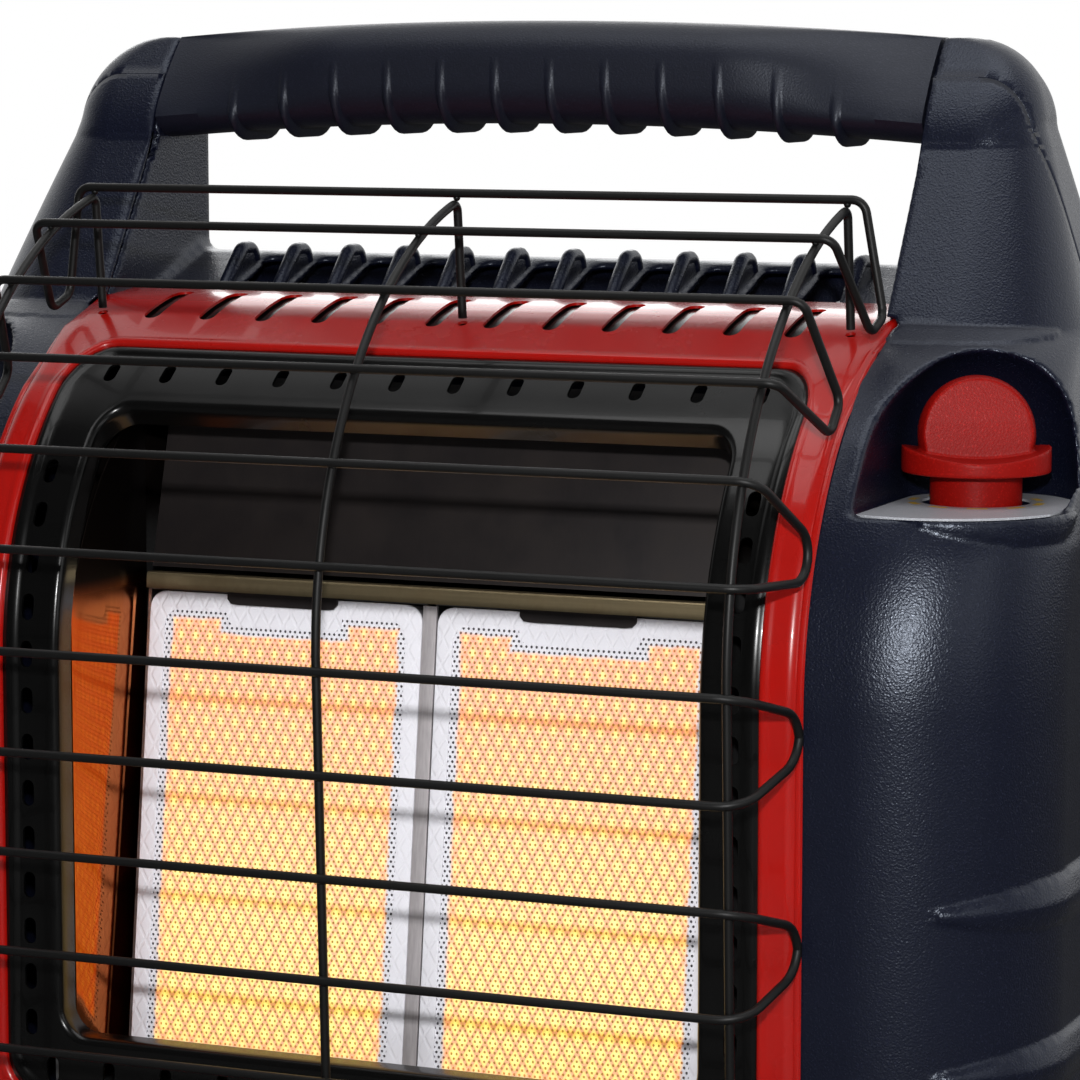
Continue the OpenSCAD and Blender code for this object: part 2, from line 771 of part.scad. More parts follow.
module handle_grip() {
    r_top = (pow(window_half, 2) + pow(grip_rise, 2)) / (2 * grip_rise);
    h = body_h - grip_z;
    y = shoulder_y + 0.5 + grip_d / 2;
    centre_z = body_h + grip_rise - r_top;
    arc = asin(window_half / (r_top - h)) + 0.2;
    color("#1c1f26") difference() {
        union() {
            intersection() {
                translate([0, y, centre_z]) rotate([90, 0, 0]) rotate([0, 0, 90 - arc])
                    rotate_extrude(angle = 2 * arc, $fn = 360)
                    translate([r_top - h / 2, 0]) rounded(h, grip_d, grip_r);
                block(gap - window_half, window_half - gap, 0, far, 0, far * 2);
            }
            // finger ribs round the underside
            for (k = [0:rib_n - 1]) {
                x = (k - (rib_n - 1) / 2) * rib_pitch;
                z = centre_z + sqrt(pow(r_top - h / 2, 2) - pow(x, 2));
                across(x - rib_w / 2, x + rib_w / 2) translate([y, z]) intersection() {
                    rounded(grip_d + 2 * rib_h, h + 2 * rib_h, grip_r + rib_h);
                    translate([-far / 2, 1 - far]) square([far, far]);
                }
            }
        }
    }
}

// red bezel and black frame

module window_outline(half, z0, z1, r) {
    translate([0, (z0 + z1) / 2]) rounded(2 * half, z1 - z0, r);
}

module roll_sheet(half, r0, r1, z0, y1) {
    across(-half, half) difference() {
        roll_outline(r1, z0, y1);
        roll_outline(r0, z0 - 1, y1 + 1);
    }
}

module front_bezel() {
    color("#c8141a") difference() {
        union() {
            roll_sheet(bezel_half, bezel_r0, bezel_r1, bezel_z0, bezel_back);
            // raised rim round the window
            intersection() {
                roll_sheet(bezel_window + 3, bezel_r0, bezel_r1 + rim_t, bezel_z1 - 3, bezel_back);
                through(-far, far) window_outline(bezel_window + 3, bezel_z1 - 3, bezel_z2 + 3, 17);
            }
        }
        through(-far, far) window_outline(bezel_window, bezel_z1, bezel_z2, 14);
        for (k = [0:vent_n - 1]) upright(lean_z - 20, far)
            translate([hole_x0 + k * slot_pitch, roll_y - 29.5]) slot(bezel_slot_w, 30);
        for (x = [-1:1]) {
            translate([x * upright_x, foot_y, 0]) cylinder(r = wire_r + gap, h = far, $fn = 32);
            through(-far, 0) translate([x * upright_x, foot_z]) circle(wire_r + gap, $fn = 32);
        }
    }
}

// places its child on the roll's face at the angle a above the front
module on_roll(a, x) {
    translate([x, roll_y, roll_z]) rotate([-a, 0, 0]) translate([0, -frame_r, 0]) children();
}

module mouth_hole() {
    window_outline(mouth_half - sheet_t, mouth_z0 + sheet_t, mouth_z1 - sheet_t, 12 - sheet_t);
}

module reflector_frame() {
    half = window_half - 1;
    row_a = asin(((bezel_z2 + mouth_z1) / 2 - roll_z) / frame_r);
    side_x = (mouth_half + bezel_window) / 2;
    side_pitch = 16;
    side_z0 = mouth_z0 + 6;
    lip = 9;
    color("#16171a") difference() {
        union() {
            difference() {
                roll_sheet(half, frame_r - sheet_t, frame_r, bezel_z0 + 3, roll_y - 2);
                through(-far, far) mouth_hole();
            }
            // lip turned in round the opening
            intersection() {
                roll_sheet(mouth_half, frame_r - lip, frame_r - sheet_t / 2, mouth_z0, roll_y);
                through(-far, far) difference() {
                    window_outline(mouth_half, mouth_z0, mouth_z1, 12);
                    mouth_hole();
                }
            }
        }
        for (k = [0:vent_n - 1]) {
            on_roll(row_a, hole_x0 + k * slot_pitch) through(-3, 3) slot(oval_w, oval_l);
            through(-far, 0) translate([hole_x0 + k * slot_pitch, (bezel_z1 + mouth_z0) / 2])
                slot(oval_w, oval_l);
        }
        for (k = [0:oval_n - 1], s = [-1, 1]) {
            z = side_z0 + k * side_pitch;
            if (z < roll_z) through(-far, 0) translate([s * side_x, z]) slot(oval_w, oval_l);
            else on_roll((z - roll_z) / frame_r * 180 / PI, s * side_x) through(-3, 3) slot(oval_w, oval_l);
        }
        for (x = [-1:1]) through(-far, 0) translate([x * upright_x, foot_z]) circle(wire_r + gap, $fn = 32);
    }
}

// burners

module box_outline(r, i, j) {
    intersection() {
        roll_outline(r, box_z0 + i, box_back - j);
        translate([-far, 0]) square([2 * far, box_z1 - i]);
    }
}

module burner_box() {
    r = frame_r - sheet_t - gap;
    color("#5c5f63") difference() {
        across(-box_half, box_half) box_outline(r, 0, 0);
        across(sheet_t - box_half, box_half - sheet_t) box_outline(r + 60, sheet_t, sheet_t);
        for (s = [-1, 1]) translate([s * burner_x, mix_y, 0]) cylinder(r = 4 + gap, h = box_z0 + 5, $fn = 32);
        for (k = [-1:1]) translate([k * pilot_pitch, pilot_y, 0]) cylinder(r = 3, h = box_z0 + 5, $fn = 32);
        // air slots under the mixing tubes
        for (s = [-1, 1], x = [-20, 20]) translate([s * burner_x + x, mix_y, 0])
            upright(0, box_z0 + 5) slot(10, 22);
    }
}

module side_reflectors() {
    front = [mouth_half - sheet_t - gap, -front_d + 10.5];
    rear = [burner_x + tile_w / 2 + 3.5, -15];
    color("#c9ccd0") pair() intersection() {
        upright(tile_z - 4, box_z1 - sheet_t - gap) polygon([front, front + [0.8, 0], rear + [0.9, -0.9],
            [box_half - sheet_t - gap, rear[1] - 0.9], [box_half - sheet_t - gap, rear[1]], rear]);
        across(0, far) roll_outline(frame_r - 9.5, 0, far);
    }
}

module hood_panel() {
    top = box_z1 - sheet_t - gap;
    foot = [-13.5, tile_z + tile_h + 6.5];
    head = [3, top];
    half = burner_x + tile_w / 2 + 2;
    color("#26282b") across(-half, half) polygon([foot, foot + [sheet_t, 0], head + [sheet_t, 0],
        head + [-20, 0], head + [-20, -sheet_t], head + [-sheet_t / 3, -sheet_t]]);
}

// frame of the burners: X along them, Y into them, Z up their face
module on_burner() {
    translate([0, -tile_front, tile_z]) rotate([-tile_lean, 0, 0]) children();
}

module tile_field() {
    margin = 6;
    difference() {
        translate([0, tile_h / 2]) rounded(tile_w - 2 * margin, tile_h - 2 * margin, 6);
        translate([0, tile_h - margin]) rounded(44, 10, 3);
    }
}

module tile(s) {
    color("#f2d9b8") on_burner() translate([s * burner_x, 0, 0]) difference() {
        through(0, tile_t) {
            translate([0, tile_h / 2]) rounded(tile_w, tile_h, 6);
            translate([0, tile_h / 4]) rounded(tile_w, tile_h / 2, 2);
        }
        through(-1, 0.5) tile_field();
    }
}

module tile_left() tile(-1);
module tile_right() tile(1);

module tile_divider() {
    color("#b9bcc4") on_burner() block(-strip_w / 2, strip_w / 2, -0.4, 0.8, 0, tile_h);
}

module tile_retainer() {
    half = burner_x + tile_w / 2;
    depth = tile_t - 4;
    z = tile_h + gap + tray_t + gap;
    color("#c9a55a") on_burner() across(-half, half) polygon([[-1.2, z], [depth, z], [depth, z + 1],
        [-0.2, z + 1], [-0.2, z + 3], [-1.2, z + 3]]);
}

module tile_clips() {
    z = tile_h + 2 * gap + tray_t + 3 + gap;
    low = tile_h - 3.5;
    half = 21;
    color("#2b2b2c") on_burner() for (s = [-1, 1]) translate([s * burner_x, 0, 0]) across(-half, half)
        polygon([[-2.5, low], [-1.6, low], [-1.6, z], [tile_t - 2, z], [tile_t - 2, z + 1], [-2.5, z + 1]]);
}

module plenum(s) {
    in_w = tile_w + 2 * gap;
    color("#7c7f83") difference() {
        on_burner() translate([s * burner_x, 0, 0]) difference() {
            block(-in_w / 2 - tray_t, in_w / 2 + tray_t, 1.2, plenum_back + tray_t,
                -gap - tray_t, tile_h + gap + tray_t);
            block(-in_w / 2, in_w / 2, 0, tile_t + gap, -gap, tile_h + gap);
            block(4 - in_w / 2, in_w / 2 - 4, 0, plenum_back, 4, tile_h - 4);
            block(-in_w / 2, in_w / 2, tile_t + gap + 1, plenum_back, -gap, tile_h + gap);
        }
        translate([s * burner_x, mix_y, mix_z1]) rotate([90, 0, 0])
            cylinder(r = mix_r + 0.1, h = 40, $fn = 48);
    }
}

module plenum_left() plenum(-1);
module plenum_right() plenum(1);

module mixing_shape(r, open) {
    translate([0, 0, mix_z0 - open]) cylinder(r = r, h = mix_z1 - mix_z0 + open, $fn = 48);
    translate([0, 0, mix_z1]) sphere(r, $fn = 48);
    translate([0, 0, mix_z1]) rotate([90, 0, 0]) cylinder(r = r, h = 22 + open, $fn = 48);
    translate([0, 0, mix_z0]) cylinder(r1 = r + bell_w, r2 = r, h = 12, $fn = 48);
    translate([0, 0, mix_z0 - open]) cylinder(r = r + bell_w, h = open + e, $fn = 48);
}

module mixing_tube(s) {
    color("#8d8f92") translate([s * burner_x, mix_y, 0]) difference() {
        mixing_shape(mix_r, 0);
        mixing_shape(mix_r - mix_t, 1);
    }
}

module mixing_tube_left() mixing_tube(-1);
module mixing_tube_right() mixing_tube(1);

module gas_jets() {
    color("#c19a4b") for (s = [-1, 1]) translate([s * burner_x, mix_y, 0]) difference() {
        union() {
            block(-6, 6, -6, 6, line_z - 5, box_z0 - gap);
            cylinder(r = 4, h = box_z0 + sheet_t + gap + 1, $fn = 32);
            translate([0, 0, box_z0 + sheet_t + gap]) cylinder(r = 6.5, h = 8, $fn = 6);
            translate([0, 0, box_z0 + 9]) cylinder(r1 = 4, r2 = 2, h = 12, $fn = 32);
        }
        translate([0, 0, 0]) cylinder(r = 5, h = line_z - 5, $fn = 32);
    }
}

// wire guard

function guard_point(s, off) = s < 0 ? [off - guard_front - s * guard_lean, guard_z + s]
    : let(a = s / guard_r * 180 / PI, r = guard_r - off)
        [guard_r - guard_front - r * cos(a), guard_z + r * sin(a)];
function guard_in(s) = s < 0 ? [1, 0] : let(a = s / guard_r * 180 / PI) [cos(a), -sin(a)];
function bar_s(k) = (7 - k) * bar_pitch + guard_first; // place of bar k along the guard
function at_x(x, p) = [x, p[0], p[1]];

// two neighbouring bars joined at both ends by loops that reach back
module bar_pair(k) {
    a = guard_point(bar_s(k), 0);
    b = guard_point(bar_s(k + 1), 0);
    mid = bar_s(k + 0.5);
    n = guard_in(mid);
    t = [-n[1], n[0]];
    front = guard_point(mid, 0);
    back = front + n * (mid < 0 ? -front_d - 4.9 - front[0] : loop_d);
    up = back + t * 7;
    down = back - t * 7;
    x = bar_half + loop_out;
    wire([at_x(-bar_half, a), at_x(bar_half, a), at_x(x, up), at_x(x, down), at_x(bar_half, b),
        at_x(-bar_half, b), at_x(-x, down), at_x(-x, up)], wire_r, 5.5, closed = true);
}

module guard_bars_upper() {
    color("#1b1b1c") for (k = [1, 3, 5]) bar_pair(k);
}

module guard_bars_lower() {
    color("#1b1b1c") for (k = [7, 9, 11]) bar_pair(k);
}

module joint(p) {
    translate(p) sphere(wire_r + bead, $fn = wire_fn);
}

module guard_uprights() {
    off = wire_d + gap / 2;
    foot = guard_point(foot_z - guard_z, off);
    start = guard_point(0, off);
    top = guard_point(bar_s(1), off);
    arc_r = guard_r - off;
    turn = bar_s(1) / guard_r * 180 / PI;
    color("#1b1b1c") for (k = [-1:1]) {
        x = k * upright_x;
        rod([x, sheet_t - front_d, foot_z], [x, foot[0], foot_z], wire_r);
        rod([x, foot[0], foot_z], [x, start[0], start[1] - bead], wire_r);
        translate([x, start[0] + arc_r, guard_z]) rotate([90, 0, 90]) rotate([0, 0, 180 - turn])
            rotate_extrude(angle = turn, $fn = 180) translate([arc_r, 0]) circle(wire_r, $fn = wire_fn);
        rod([x, top[0], top[1] - bead], [x, foot_y, roll_top - 3], wire_r);
        for (p = [foot, start, top]) joint([x, p[0], p[1]]);
    }
}

// knob and valve

module at_knob() {
    translate([knob_x, knob_y, 0]) children();
}

module shelf_plate() {
    upright(shelf_z, shelf_z + plate_t) intersection() {
        union() {
            translate([alcove_x, alcove_y]) circle(alcove_r - gap, $fn = 64);
            translate([alcove_x - alcove_r + gap, alcove_y - 100]) square([2 * (alcove_r - gap), 100]);
        }
        translate([drum_x, drum_y]) circle(drum_r - 0.6, $fn = 96);
    }
}

module dial_plate() {
    color("#6f7787") difference() {
        shelf_plate();
        at_knob() cylinder(r = knob_hole_r, h = far, $fn = 64);
    }
}

module valve_body() {
    color("#b9bbbf") difference() {
        union() {
            at_knob() block(-valve_w / 2, valve_w / 2, -valve_d / 2, valve_d / 2, valve_z0, valve_z1);
            at_knob() translate([0, 0, valve_z1 - e])
                cylinder(r = bonnet_r, h = bonnet_z - valve_z1 + e, $fn = 48);
        }
        at_knob() translate([0, 0, valve_z0 + 8]) cylinder(r = stem_r + run, h = far, $fn = 48);
    }
}

module valve_bracket() {
    w = valve_w + 16;
    d = valve_d + 10;
    post_r = 24;
    color("#9b9ea3") difference() {
        union() {
            at_knob() upright(bracket_z, bracket_z + 1.5) rounded(w, d, 6);
            at_knob() for (a = [45:90:315]) rotate(a) translate([post_r, 0, bracket_z])
                cylinder(r = 3, h = shelf_z - shell_t - gap - bracket_z, $fn = 32);
        }
        at_knob() cylinder(r = bonnet_r + gap, h = far, $fn = 48);
    }
}

module valve_stem() {
    z0 = valve_z0 + 8 + knob_travel + 1;
    color("silver") at_knob() difference() {
        translate([0, 0, z0]) cylinder(r = stem_r, h = stem_top - z0, $fn = 48);
        block(-far, far, stem_r - 1.2, far, hub_z, far);
    }
}

module stem_spring() {
    color("silver") at_knob() translate([0, 0, bonnet_z]) coil(6, 0.6, 4, washer_z - bonnet_z);
}

module thrust_washer() {
    color("silver") at_knob() translate([0, 0, washer_z]) difference() {
        cylinder(r = 8, h = washer_t, $fn = 48);
        translate([0, 0, -1]) cylinder(r = stem_r + run, h = 4, $fn = 48);
    }
}

module control_knob() {
    rim_z = shelf_z + 10.6;
    rim_top = shelf_z + 19;
    saddle_r = 80;
    dome_r = 19.2;
    dome_z = shelf_z + knob_h - dome_r;
    color("#c4161c") at_knob() rotate(fin_a) difference() {
        union() {
            translate([0, 0, shelf_z - 1]) cylinder(r = collar_r, h = rim_z - shelf_z + 2, $fn = 64);
            difference() {
                translate([0, 0, rim_z]) cylinder(r = knob_r, h = rim_top - rim_z, $fn = 96);
                translate([0, 0, rim_top - 3.6 + saddle_r]) rotate([90, 0, 0])
                    cylinder(r = saddle_r, h = far, center = true, $fn = 180);
            }
            intersection() {
                translate([0, 0, dome_z]) sphere(dome_r, $fn = 96);
                block(-far, far, -far, far, rim_z + 1, far);
                // grip, thinner at the top
                across(-far, far) polygon([[-8.5, rim_z], [8.5, rim_z], [7, dome_z + 5],
                    [4.5, dome_z + dome_r], [-4.5, dome_z + dome_r], [-7, dome_z + 5]]);
            }
        }
        translate([0, 0, shelf_z - 2]) cylinder(r = collar_r - 3.5, h = hub_z - shelf_z + 2, $fn = 64);
        difference() {
            cylinder(r = stem_r + 0.05, h = stem_top + 0.5, $fn = 48);
            rotate(-fin_a) block(-far, far, stem_r - 1.15, far, 0, far);
        }
    }
}

// gas lines and pilot

module supply_line() {
    z = arm_z1 + gap + knuckle_t / 2;
    y = bay_y + supply_r + gap;
    color("#b0b3b6") wire([[swivel_x, swivel_y - hub_r - gap, z], [swivel_x, y, z],
        [knob_x, y, supply_z], [knob_x, knob_y + valve_d / 2 + gap, supply_z]], supply_r, 5);
}

module crossover_line() {
    color("#b0b3b6") across(-centre_half, centre_half) translate([swivel_y, cross_z])
        circle(supply_r, $fn = 32);
}

// line from the valve down behind the bezel to a jet
module burner_line(s, run_at) {
    x = box_half + run_at[0];
    y = knob_y - run_at[1];
    z = valve_z0 + run_at[2];
    color("#b0b3b6") wire([[knob_x - valve_w / 2 - gap, y, z], [x, y, z], [x, y, line_z],
        [s * burner_x, y, line_z], [s * burner_x, mix_y - 6 - gap, line_z]], line_r, 8);
}

module burner_line_right() burner_line(1, right_run);
module burner_line_left() burner_line(-1, left_run);

module pilot_line() {
    x = box_half + pilot_run[0];
    y = knob_y - pilot_run[1];
    z = valve_z0 + pilot_run[2];
    color("#c08a4a") wire([[knob_x - valve_w / 2 - gap, y, z], [x, y, z], [x, y, line_z - 2],
        [0, pilot_y + 24, line_z - 2], [0, pilot_y, line_z - 1], [0, pilot_y, box_z0 + sheet_t]], 1.6, 4);
}

module pilot_burner() {
    color("#b8862f") translate([0, pilot_y, box_z0 + sheet_t + gap]) difference() {
        union() {
            block(-pilot_pitch - 5, pilot_pitch + 5, -5, 5, 0, 1.2);
            cylinder(r = 4.5, h = 16, $fn = 32);
            translate([0, 0, 16]) sphere(4.5, $fn = 32);
        }
        translate([0, 0, 14]) rotate([-90, 0, 0]) cylinder(r = 1.6, h = 10, $fn = 32);
        for (s = [-1, 1]) translate([s * pilot_pitch, 0, -1]) cylinder(r = 2.6 + gap, h = 5, $fn = 32);
    }
}

module thermocouple() {
    color("#c98f5a") translate([pilot_pitch, pilot_y, box_z0 - 4]) {
        cylinder(r = 2.6, h = 12, $fn = 32);
        cylinder(r = 1.6, h = 30, $fn = 32);
    }
}

module spark_electrode() {
    color("#eceae4") translate([-pilot_pitch, pilot_y, box_z0 - 4]) {
        cylinder(r = 2.6, h = 18, $fn = 32);
        cylinder(r = 0.9, h = 30, $fn = 32);
    }
}

module spark_lead() {
    x = -box_half - pilot_run[0];
    y = knob_y - pilot_run[1];
    z = base_z + 1.2 + gap * 6;
    turn_z = igniter_z0 - 14;
    color("#8c1f1f") wire([[-pilot_pitch, pilot_y, box_z0 - 4 - gap], [-pilot_pitch, pilot_y, z], [x, y, z],
        [x, y, turn_z], [-knob_x, knob_y, turn_z], [-knob_x, knob_y, igniter_z0 - gap]], 1.2, 2);
}

module tip_switch() {
    x = 33 - centre_half;
    y = back_d - 33;
    top = base_z + 24;
    color("#d8d2c4") {
        block(x - 13, x + 13, y - 12, y + 12, base_z + gap, top);
        translate([x, y, top - e]) cylinder(r = 4, h = 5, $fn = 32);
    }
}

// igniter

module at_igniter() {
    translate([-knob_x, knob_y, 0]) children();
}

module igniter_plate() {
    color("#6f7787") difference() {
        mirror([1, 0, 0]) shelf_plate();
        at_igniter() cylinder(r = igniter_r + gap, h = far, $fn = 48);
    }
}

module igniter_body() {
    color("#17181a") at_igniter() difference() {
        union() {
            translate([0, 0, igniter_z0]) cylinder(r = igniter_r, h = shelf_z - igniter_z0 + 4, $fn = 48);
            translate([0, 0, shelf_z + plate_t + gap]) cylinder(r = igniter_r + 4, h = 3, $fn = 48);
        }
        translate([0, 0, button_z0 - button_travel - 3]) cylinder(r = button_r + run, h = far, $fn = 48);
        translate([0, 0, shelf_z + 4]) cylinder(r = far, h = far, $fn = 48);
    }
}

module igniter_button() {
    color("#c4161c") at_igniter() translate([0, 0, button_z0]) difference() {
        cylinder(r = button_r, h = button_z1 - button_z0, $fn = 48);
        translate([0, 0, button_z1 - button_z0 + 23]) sphere(24, $fn = 96);
    }
}

module igniter_spring() {
    z0 = button_z0 - button_travel - 3;
    color("silver") at_igniter() translate([0, 0, z0]) coil(5, 0.5, 4, button_z0 - z0);
}

// regulators

module swivel_block() {
    z0 = arm_z0 - gap - knuckle_t;
    z1 = arm_z1 + gap + knuckle_t;
    color("#a9abae") difference() {
        union() {
            block(centre_half + gap, swivel_x - hub_r - gap, swivel_y - 12, swivel_y + 11, z0, z1);
            for (z = [z0, z1 - knuckle_t]) {
                translate([swivel_x, swivel_y, z]) cylinder(r = hub_r, h = knuckle_t, $fn = 48);
                block(centre_half + gap, swivel_x, swivel_y - hub_r, swivel_y + hub_r, z, z + knuckle_t);
            }
        }
        translate([swivel_x, swivel_y, 0]) cylinder(r = pin_r + 0.05, h = far, $fn = 48);
    }
}

module swivel_block_right() swivel_block();
module swivel_block_left() mirror([1, 0, 0]) swivel_block();

module swivel_pins() {
    z0 = arm_z0 - gap - knuckle_t;
    z1 = arm_z1 + gap + knuckle_t;
    color("silver") pair() translate([swivel_x, swivel_y, 0]) {
        translate([0, 0, z0 - 1]) cylinder(r = pin_r, h = z1 - z0 + 1 + e, $fn = 48);
        translate([0, 0, z1 + 0.1]) cylinder(r = pin_r + 2, h = 1.6, $fn = 48);
    }
}

module regulator() {
    color("#b4b6b9") difference() {
        union() {
            translate([inlet_x, inlet_y, inlet_z])
                cylinder(r = inlet_r + 5.5, h = disc_z0 - inlet_z + 1, $fn = 64);
            translate([inlet_x, inlet_y, disc_z0]) cylinder(r = disc_r, h = disc_z1 - disc_z0, $fn = 96);
            translate([swivel_x, swivel_y, arm_z0]) {
                cylinder(r = hub_r, h = arm_z1 - arm_z0, $fn = 48);
                rotate(swing_a) block(0, swing_d - disc_r + 3, -7, 7, 0.6, arm_z1 - arm_z0 - 0.6);
            }
        }
        translate([inlet_x, inlet_y, inlet_z - 1]) cylinder(r = inlet_r, h = inlet_l + 1, $fn = 64);
        translate([inlet_x, inlet_y, inlet_z]) cylinder(r = inlet_r - 0.7, h = inlet_l + 4, $fn = 64);
        translate([inlet_x, inlet_y, inlet_z]) cylinder(r = 2, h = inlet_l + 10, $fn = 32);
        translate([swivel_x, swivel_y, 0]) cylinder(r = pin_r + run, h = far, $fn = 48);
    }
}

module regulator_right() regulator();
module regulator_left() mirror([1, 0, 0]) regulator();

module regulator_cap() {
    z = disc_z1 + gap / 3;
    color("#1d1e20") translate([inlet_x, inlet_y, z]) difference() {
        union() {
            cylinder(r = disc_r - 1.5, h = 3, $fn = 96);
            cylinder(r = disc_r - 8, h = 5.5, $fn = 96);
        }
        translate([8, 0, 3]) cylinder(r = 1.2, h = 5, $fn = 24);
    }
}

module regulator_cap_right() regulator_cap();
module regulator_cap_left() mirror([1, 0, 0]) regulator_cap();

module inlet_seal() {
    seal_r = 1.5;
    color("#2c2c2c") translate([inlet_x, inlet_y, inlet_z + inlet_l + 4 - seal_r])
        rotate_extrude($fn = 64) translate([inlet_r - 0.7 - seal_r - 0.1, 0]) circle(seal_r, $fn = 24);
}

module inlet_seal_right() inlet_seal();
module inlet_seal_left() mirror([1, 0, 0]) inlet_seal();

base_tray();
rubber_feet();
rear_shell();
side_shell_left();
side_shell_right();
handle_grip();
shell_screws();
front_bezel();
reflector_frame();
burner_box();
side_reflectors();
hood_panel();
tile_left();
tile_right();
tile_divider();
tile_retainer();
tile_clips();
plenum_left();
plenum_right();
mixing_tube_left();
mixing_tube_right();
gas_jets();
guard_uprights();
guard_bars_upper();
guard_bars_lower();
valve_body();
valve_stem();
stem_spring();
thrust_washer();
control_knob();
dial_plate();
valve_bracket();
supply_line();
crossover_line();
burner_line_left();
burner_line_right();
pilot_line();
pilot_burner();
thermocouple();
spark_electrode();
spark_lead();
igniter_body();
igniter_button();
igniter_spring();
igniter_plate();
swivel_block_left();
swivel_block_right();
swivel_pins();
regulator_left();
regulator_right();
regulator_cap_left();
regulator_cap_right();
inlet_seal_left();
inlet_seal_right();
tip_switch();
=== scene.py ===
import json
import math

import bmesh
import bpy
import numpy
from mathutils import Matrix, Vector


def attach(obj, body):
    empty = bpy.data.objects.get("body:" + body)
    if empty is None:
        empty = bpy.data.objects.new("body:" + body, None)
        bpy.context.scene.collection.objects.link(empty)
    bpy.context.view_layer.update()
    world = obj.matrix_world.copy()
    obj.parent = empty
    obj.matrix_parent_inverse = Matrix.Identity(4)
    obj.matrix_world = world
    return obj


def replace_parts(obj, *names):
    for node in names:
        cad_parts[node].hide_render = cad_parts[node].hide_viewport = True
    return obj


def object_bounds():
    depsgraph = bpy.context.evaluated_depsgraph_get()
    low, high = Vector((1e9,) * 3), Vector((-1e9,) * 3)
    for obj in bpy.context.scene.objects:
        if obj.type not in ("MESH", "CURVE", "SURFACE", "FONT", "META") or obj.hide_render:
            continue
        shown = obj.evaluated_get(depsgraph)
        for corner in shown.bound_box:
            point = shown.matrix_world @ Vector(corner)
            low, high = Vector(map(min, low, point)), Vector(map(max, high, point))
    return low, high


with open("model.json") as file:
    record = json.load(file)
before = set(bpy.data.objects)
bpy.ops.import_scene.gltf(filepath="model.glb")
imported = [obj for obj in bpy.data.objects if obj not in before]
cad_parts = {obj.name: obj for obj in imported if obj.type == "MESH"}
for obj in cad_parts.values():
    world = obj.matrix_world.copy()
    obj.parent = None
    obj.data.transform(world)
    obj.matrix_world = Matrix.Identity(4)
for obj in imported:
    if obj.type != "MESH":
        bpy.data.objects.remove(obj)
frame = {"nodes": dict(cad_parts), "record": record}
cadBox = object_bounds()
nodes = frame["nodes"]
mm = 0.001
print("frame loaded:", len(nodes), "nodes")


# node helpers: inputs are keywords with _ for a space, and a value may be another node's output

def plug(tree, socket, value):
    if hasattr(value, "links"):
        tree.links.new(value, socket)
    elif isinstance(value, tuple) and len(value) < len(socket.default_value):
        socket.default_value = (*value, 1)
    else:
        socket.default_value = value


def feed(tree, node, **values):
    for key, value in values.items():
        plug(tree, node.inputs[key.replace("_", " ")], value)


def place(tree, kind, settings=(), **values):
    node = tree.nodes.new(kind)
    for key, value in dict(settings).items():
        setattr(node, key, value)
    feed(tree, node, **values)
    return node


def calc(tree, operation, *terms, clamp=False):
    node = place(tree, "ShaderNodeMath", {"operation": operation, "use_clamp": clamp})
    for socket, term in zip(node.inputs, terms):
        plug(tree, socket, term)
    return node.outputs[0]


def ramp(tree, value, low, high, start=0, end=1, kind="LINEAR"):
    node = place(tree, "ShaderNodeMapRange", {"interpolation_type": kind}, Value=value, From_Min=low, From_Max=high,
                 To_Min=start, To_Max=end)
    return node.outputs["Result"]


def between(tree, value, low, high):
    # 0 below low, 1 above high, smooth between them
    return ramp(tree, value, low, high, kind="SMOOTHSTEP")


def spread(tree, mask, low, high):
    return ramp(tree, mask, 0, 1, low, high)


def blendColours(tree, mask, first, second):
    mix = place(tree, "ShaderNodeMix", {"data_type": "RGBA"}, Factor=mask)
    plug(tree, mix.inputs[6], first)
    plug(tree, mix.inputs[7], second)
    return mix.outputs[2]


def blendShaders(tree, share, first, second):
    node = place(tree, "ShaderNodeMixShader")
    for socket, value in zip(node.inputs, (share, first.outputs[0], second.outputs[0])):
        plug(tree, socket, value)
    return node


def spotMm(tree):
    # X, Y and Z of the shaded point in mm
    where = place(tree, "ShaderNodeTexCoord")
    split = place(tree, "ShaderNodeSeparateXYZ", Vector=where.outputs["Object"])
    return [calc(tree, "MULTIPLY", axis, 1000) for axis in split.outputs]


def startMaterial(name, **shaderValues):
    material = bpy.data.materials.new(name)
    material.use_nodes = True
    tree = material.node_tree
    shader = tree.nodes["Principled BSDF"]
    feed(tree, shader, **shaderValues)
    return material, tree, shader


def addInputs(tree, inputs):
    kinds = {float: "NodeSocketFloat", int: "NodeSocketInt", tuple: "NodeSocketVector"}
    for label, value in inputs.items():
        tree.interface.new_socket(label, in_out="INPUT", socket_type=kinds[type(value)]).default_value = value


# camera, light and floor

look = {
    "place": (572.4, -1284.2, 427.4),  # mm
    "turn": 22.80,  # degrees round to the right of straight on
    "tip": 7.06,  # degrees down
    "lens": 137.57,
}


def addCamera():
    data = bpy.data.cameras.new("viewCamera")
    data.lens = look["lens"]
    data.sensor_width = 36
    data.clip_start = 0.01
    data.clip_end = 30
    camera = bpy.data.objects.new("viewCamera", data)
    camera.location = [v * mm for v in look["place"]]
    camera.rotation_euler = (math.radians(90 - look["tip"]), 0, math.radians(look["turn"]))
    bpy.context.collection.objects.link(camera)
    bpy.context.scene.camera = camera


